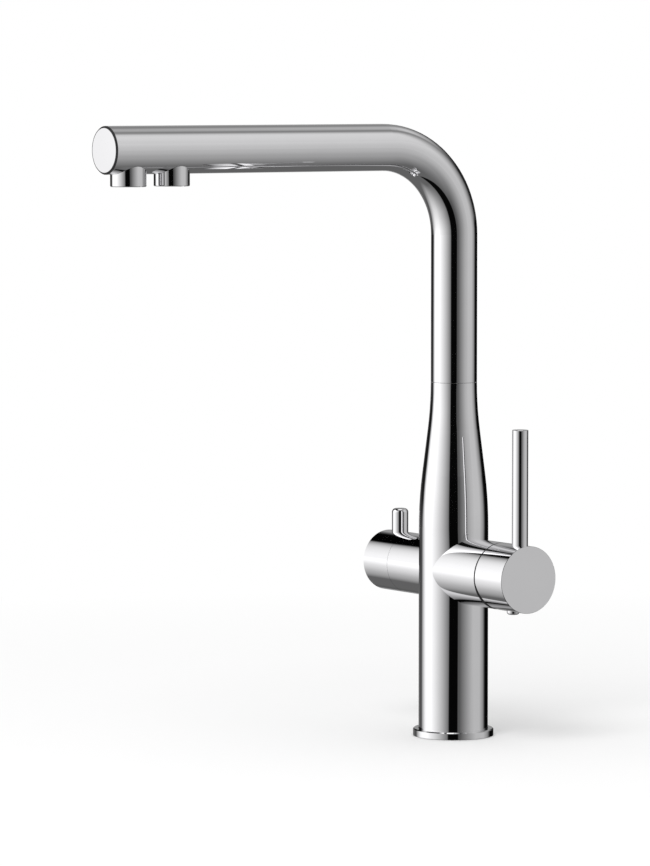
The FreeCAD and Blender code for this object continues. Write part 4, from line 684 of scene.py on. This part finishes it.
class TAP_OT_threads(bpy.types.Operator):
    """Makes the threads that show in the inlets and in the fixing stud's hole"""

    bl_idname = "tap.threads"
    bl_label = "Threads"

    def execute(self, context):
        fittings = context.scene.tap_fittings
        hot_place = inlet_place("hot")
        hot = thread_ridge(context, hot_place, INLET_RADIUS, fittings.inlet_pitch, INLET_DEPTH)
        settle(hot, "hot_inlet_thread", "machined_brass")
        pieces = [hot]
        for name in ("cold", "filter"):
            piece = copy_piece(context, hot, inlet_place(name) - hot_place)
            settle(piece, f"{name}_inlet_thread", "machined_brass")
            pieces.append(piece)
        stud = thread_ridge(context, (0.0, 0.0, 0.0), STUD_RADIUS, fittings.stud_pitch, STUD_DEPTH)
        settle(stud, "stud_thread", "machined_brass")
        pieces.append(stud)
        for piece in pieces:
            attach(piece, "tap_body")
        return {"FINISHED"}


def band(tree, angle, corners):
    """Rises from 0 to 1 and falls to 0 again at four angles."""
    rise = remap(tree, angle, corners[0], corners[1])
    fall = remap(tree, angle, corners[2], corners[3], to_low=1.0, to_high=0.0)
    return math_node(tree, "MULTIPLY", rise, fall)


def panel(tree, azimuth, elevation, shape):
    """The brightness of one panel of the studio in the direction looked at."""
    across = band(tree, azimuth, shape["azimuth"])
    upright = band(tree, elevation, shape["elevation"])
    seen = math_node(tree, "MULTIPLY", across, upright)
    return math_node(tree, "MULTIPLY", seen, shape["level"])


def studio_level(tree):
    """How bright the studio is in the direction looked at: the panels, less what the flags hide."""
    ray = add_node(tree, "ShaderNodeTexCoord").outputs["Generated"]
    ahead = add_node(tree, "ShaderNodeVectorMath", {0: ray, 1: TO_CAMERA}, operation="DOT_PRODUCT")
    aside = add_node(tree, "ShaderNodeVectorMath", {0: ray, 1: TO_RIGHT}, operation="DOT_PRODUCT")
    turn = math_node(tree, "ARCTAN2", aside.outputs["Value"], ahead.outputs["Value"])
    azimuth = math_node(tree, "DEGREES", turn)
    height = add_node(tree, "ShaderNodeSeparateXYZ", {0: ray}).outputs["Z"]
    elevation = math_node(tree, "DEGREES", math_node(tree, "ARCSINE", height))
    level = panel(tree, math_node(tree, "ABSOLUTE", azimuth), elevation, BACK_GLOW)
    for shape in LIT_PANELS:
        level = math_node(tree, "ADD", level, panel(tree, azimuth, elevation, shape))
    level = math_node(tree, "ADD", level, ROOM_LEVEL)
    for shape in FLAGS:
        open_part = math_node(tree, "SUBTRACT", 1.0, panel(tree, azimuth, elevation, shape))
        level = math_node(tree, "MULTIPLY", level, open_part)
    return level


def light_room(scene, stage):
    """White behind the tap, even light on it, and the studio's panels in its mirror finish."""
    world = bpy.data.worlds.new("studio")
    scene.world = world
    world.use_nodes = True
    tree = world.node_tree
    tree.nodes.clear()
    path = add_node(tree, "ShaderNodeLightPath").outputs
    shown = math_node(tree, "MAXIMUM", path["Is Camera Ray"], path["Is Transmission Ray"])
    mirrored = mix_values(tree, path["Is Glossy Ray"], stage.room_light, studio_level(tree))
    level = mix_values(tree, shown, mirrored, 1.0)
    light = add_node(tree, "ShaderNodeBackground", {"Color": WHITE, "Strength": level})
    add_node(tree, "ShaderNodeOutputWorld", {"Surface": light.outputs[0]})


def floor_paint(stage):
    """White floor that keeps the shadow, runs out to plain white and is clear from below."""
    material = bpy.data.materials.new("studio_floor")
    material.use_nodes = True
    tree = material.node_tree
    tree.nodes.clear()
    place = add_node(tree, "ShaderNodeTexCoord").outputs["Object"]
    reach = add_node(tree, "ShaderNodeVectorMath", {0: place}, operation="LENGTH").outputs["Value"]
    far = remap(tree, reach, FLOOR_FADE_START, FLOOR_FADE_END)
    near_floor = add_node(tree, "ShaderNodeBsdfDiffuse", {"Color": (*stage.floor_colour, 1.0)})
    far_floor = add_node(tree, "ShaderNodeEmission", {"Color": WHITE, "Strength": 1.0})
    top = add_node(tree, "ShaderNodeMixShader", {0: far, 1: near_floor.outputs[0], 2: far_floor.outputs[0]})
    clear = add_node(tree, "ShaderNodeBsdfTransparent")
    under = add_node(tree, "ShaderNodeNewGeometry").outputs["Backfacing"]
    both = add_node(tree, "ShaderNodeMixShader", {0: under, 1: top.outputs[0], 2: clear.outputs[0]})
    add_node(tree, "ShaderNodeOutputMaterial", {"Surface": both.outputs[0]})
    return material


def add_floor(context, stage):
    """The floor just under the tap, which the chrome doesn't mirror."""
    bpy.ops.object.select_all(action="DESELECT")
    bpy.ops.mesh.primitive_plane_add(size=2.0 * stage.floor_radius, location=(0.0, 0.0, -FLOOR_DROP))
    floor = context.object
    floor.name = "studio_floor"
    floor.data.materials.append(floor_paint(stage))
    floor.visible_glossy = False


def add_lamp(context, stage):
    """The round softbox that casts the soft shadow, which the chrome doesn't mirror."""
    bpy.ops.object.light_add(type="AREA", location=stage.lamp_place)
    lamp = context.object
    lamp.name = "overhead_softbox"
    lamp.data.shape = "DISK"
    lamp.data.size = stage.lamp_size
    lamp.data.energy = stage.lamp_power
    lamp.rotation_euler = (Vector(stage.lamp_aim) - lamp.location).to_track_quat("-Z", "Y").to_euler()
    lamp.visible_glossy = False


def add_camera(context, stage):
    """The camera, with the photo's view of the tap."""
    bpy.ops.object.camera_add(location=stage.camera_place, rotation=stage.camera_turn)
    camera = context.object
    camera.name = "photo_camera"
    camera.data.lens = stage.camera_lens
    camera.data.sensor_width = SENSOR_WIDTH
    camera.data.clip_start = CLIP_NEAR
    camera.data.clip_end = CLIP_FAR
    context.scene.camera = camera


class TAP_OT_stage(bpy.types.Operator):
    """Sets up the floor, the lamp, the camera and the room round the tap"""

    bl_idname = "tap.stage"
    bl_label = "Studio"

    def execute(self, context):
        stage = context.scene.tap_stage
        add_floor(context, stage)
        add_lamp(context, stage)
        add_camera(context, stage)
        light_room(context.scene, stage)
        context.scene.view_settings.view_transform = "Standard"
        return {"FINISHED"}


class TAP_PT_sidebar(bpy.types.Panel):
    """Lists the tap's operators and the values they read"""

    bl_idname = "TAP_PT_sidebar"
    bl_label = "Kitchen mixer tap"
    bl_space_type = "VIEW_3D"
    bl_region_type = "UI"
    bl_category = "Tap"

    def draw(self, context):
        layout = self.layout
        for operator in OPERATORS:
            layout.operator(operator.bl_idname)
        for group in (context.scene.tap_finishes, context.scene.tap_fittings, context.scene.tap_stage):
            box = layout.box()
            for name in group.__annotations__:
                box.prop(group, name)


OPERATORS = (
    TAP_OT_finishes, TAP_OT_cap_shade_seal, TAP_OT_shade_slide_ring, TAP_OT_aerators, TAP_OT_threads, TAP_OT_stage,
)
CLASSES = (TapFinishes, TapFittings, TapStage, *OPERATORS, TAP_PT_sidebar)


def register():
    for entry in CLASSES:
        bpy.utils.register_class(entry)
    bpy.types.Scene.tap_finishes = PointerProperty(type=TapFinishes)
    bpy.types.Scene.tap_fittings = PointerProperty(type=TapFittings)
    bpy.types.Scene.tap_stage = PointerProperty(type=TapStage)


def unregister():
    del bpy.types.Scene.tap_stage
    del bpy.types.Scene.tap_fittings
    del bpy.types.Scene.tap_finishes
    for entry in reversed(CLASSES):
        bpy.utils.unregister_class(entry)


def main():
    register()
    bpy.ops.tap.finishes()
    bpy.ops.tap.cap_seal()
    bpy.ops.tap.slide_ring()
    bpy.ops.tap.aerators()
    bpy.ops.tap.threads()
    bpy.ops.tap.stage()


if __name__ == "__main__":
    main()
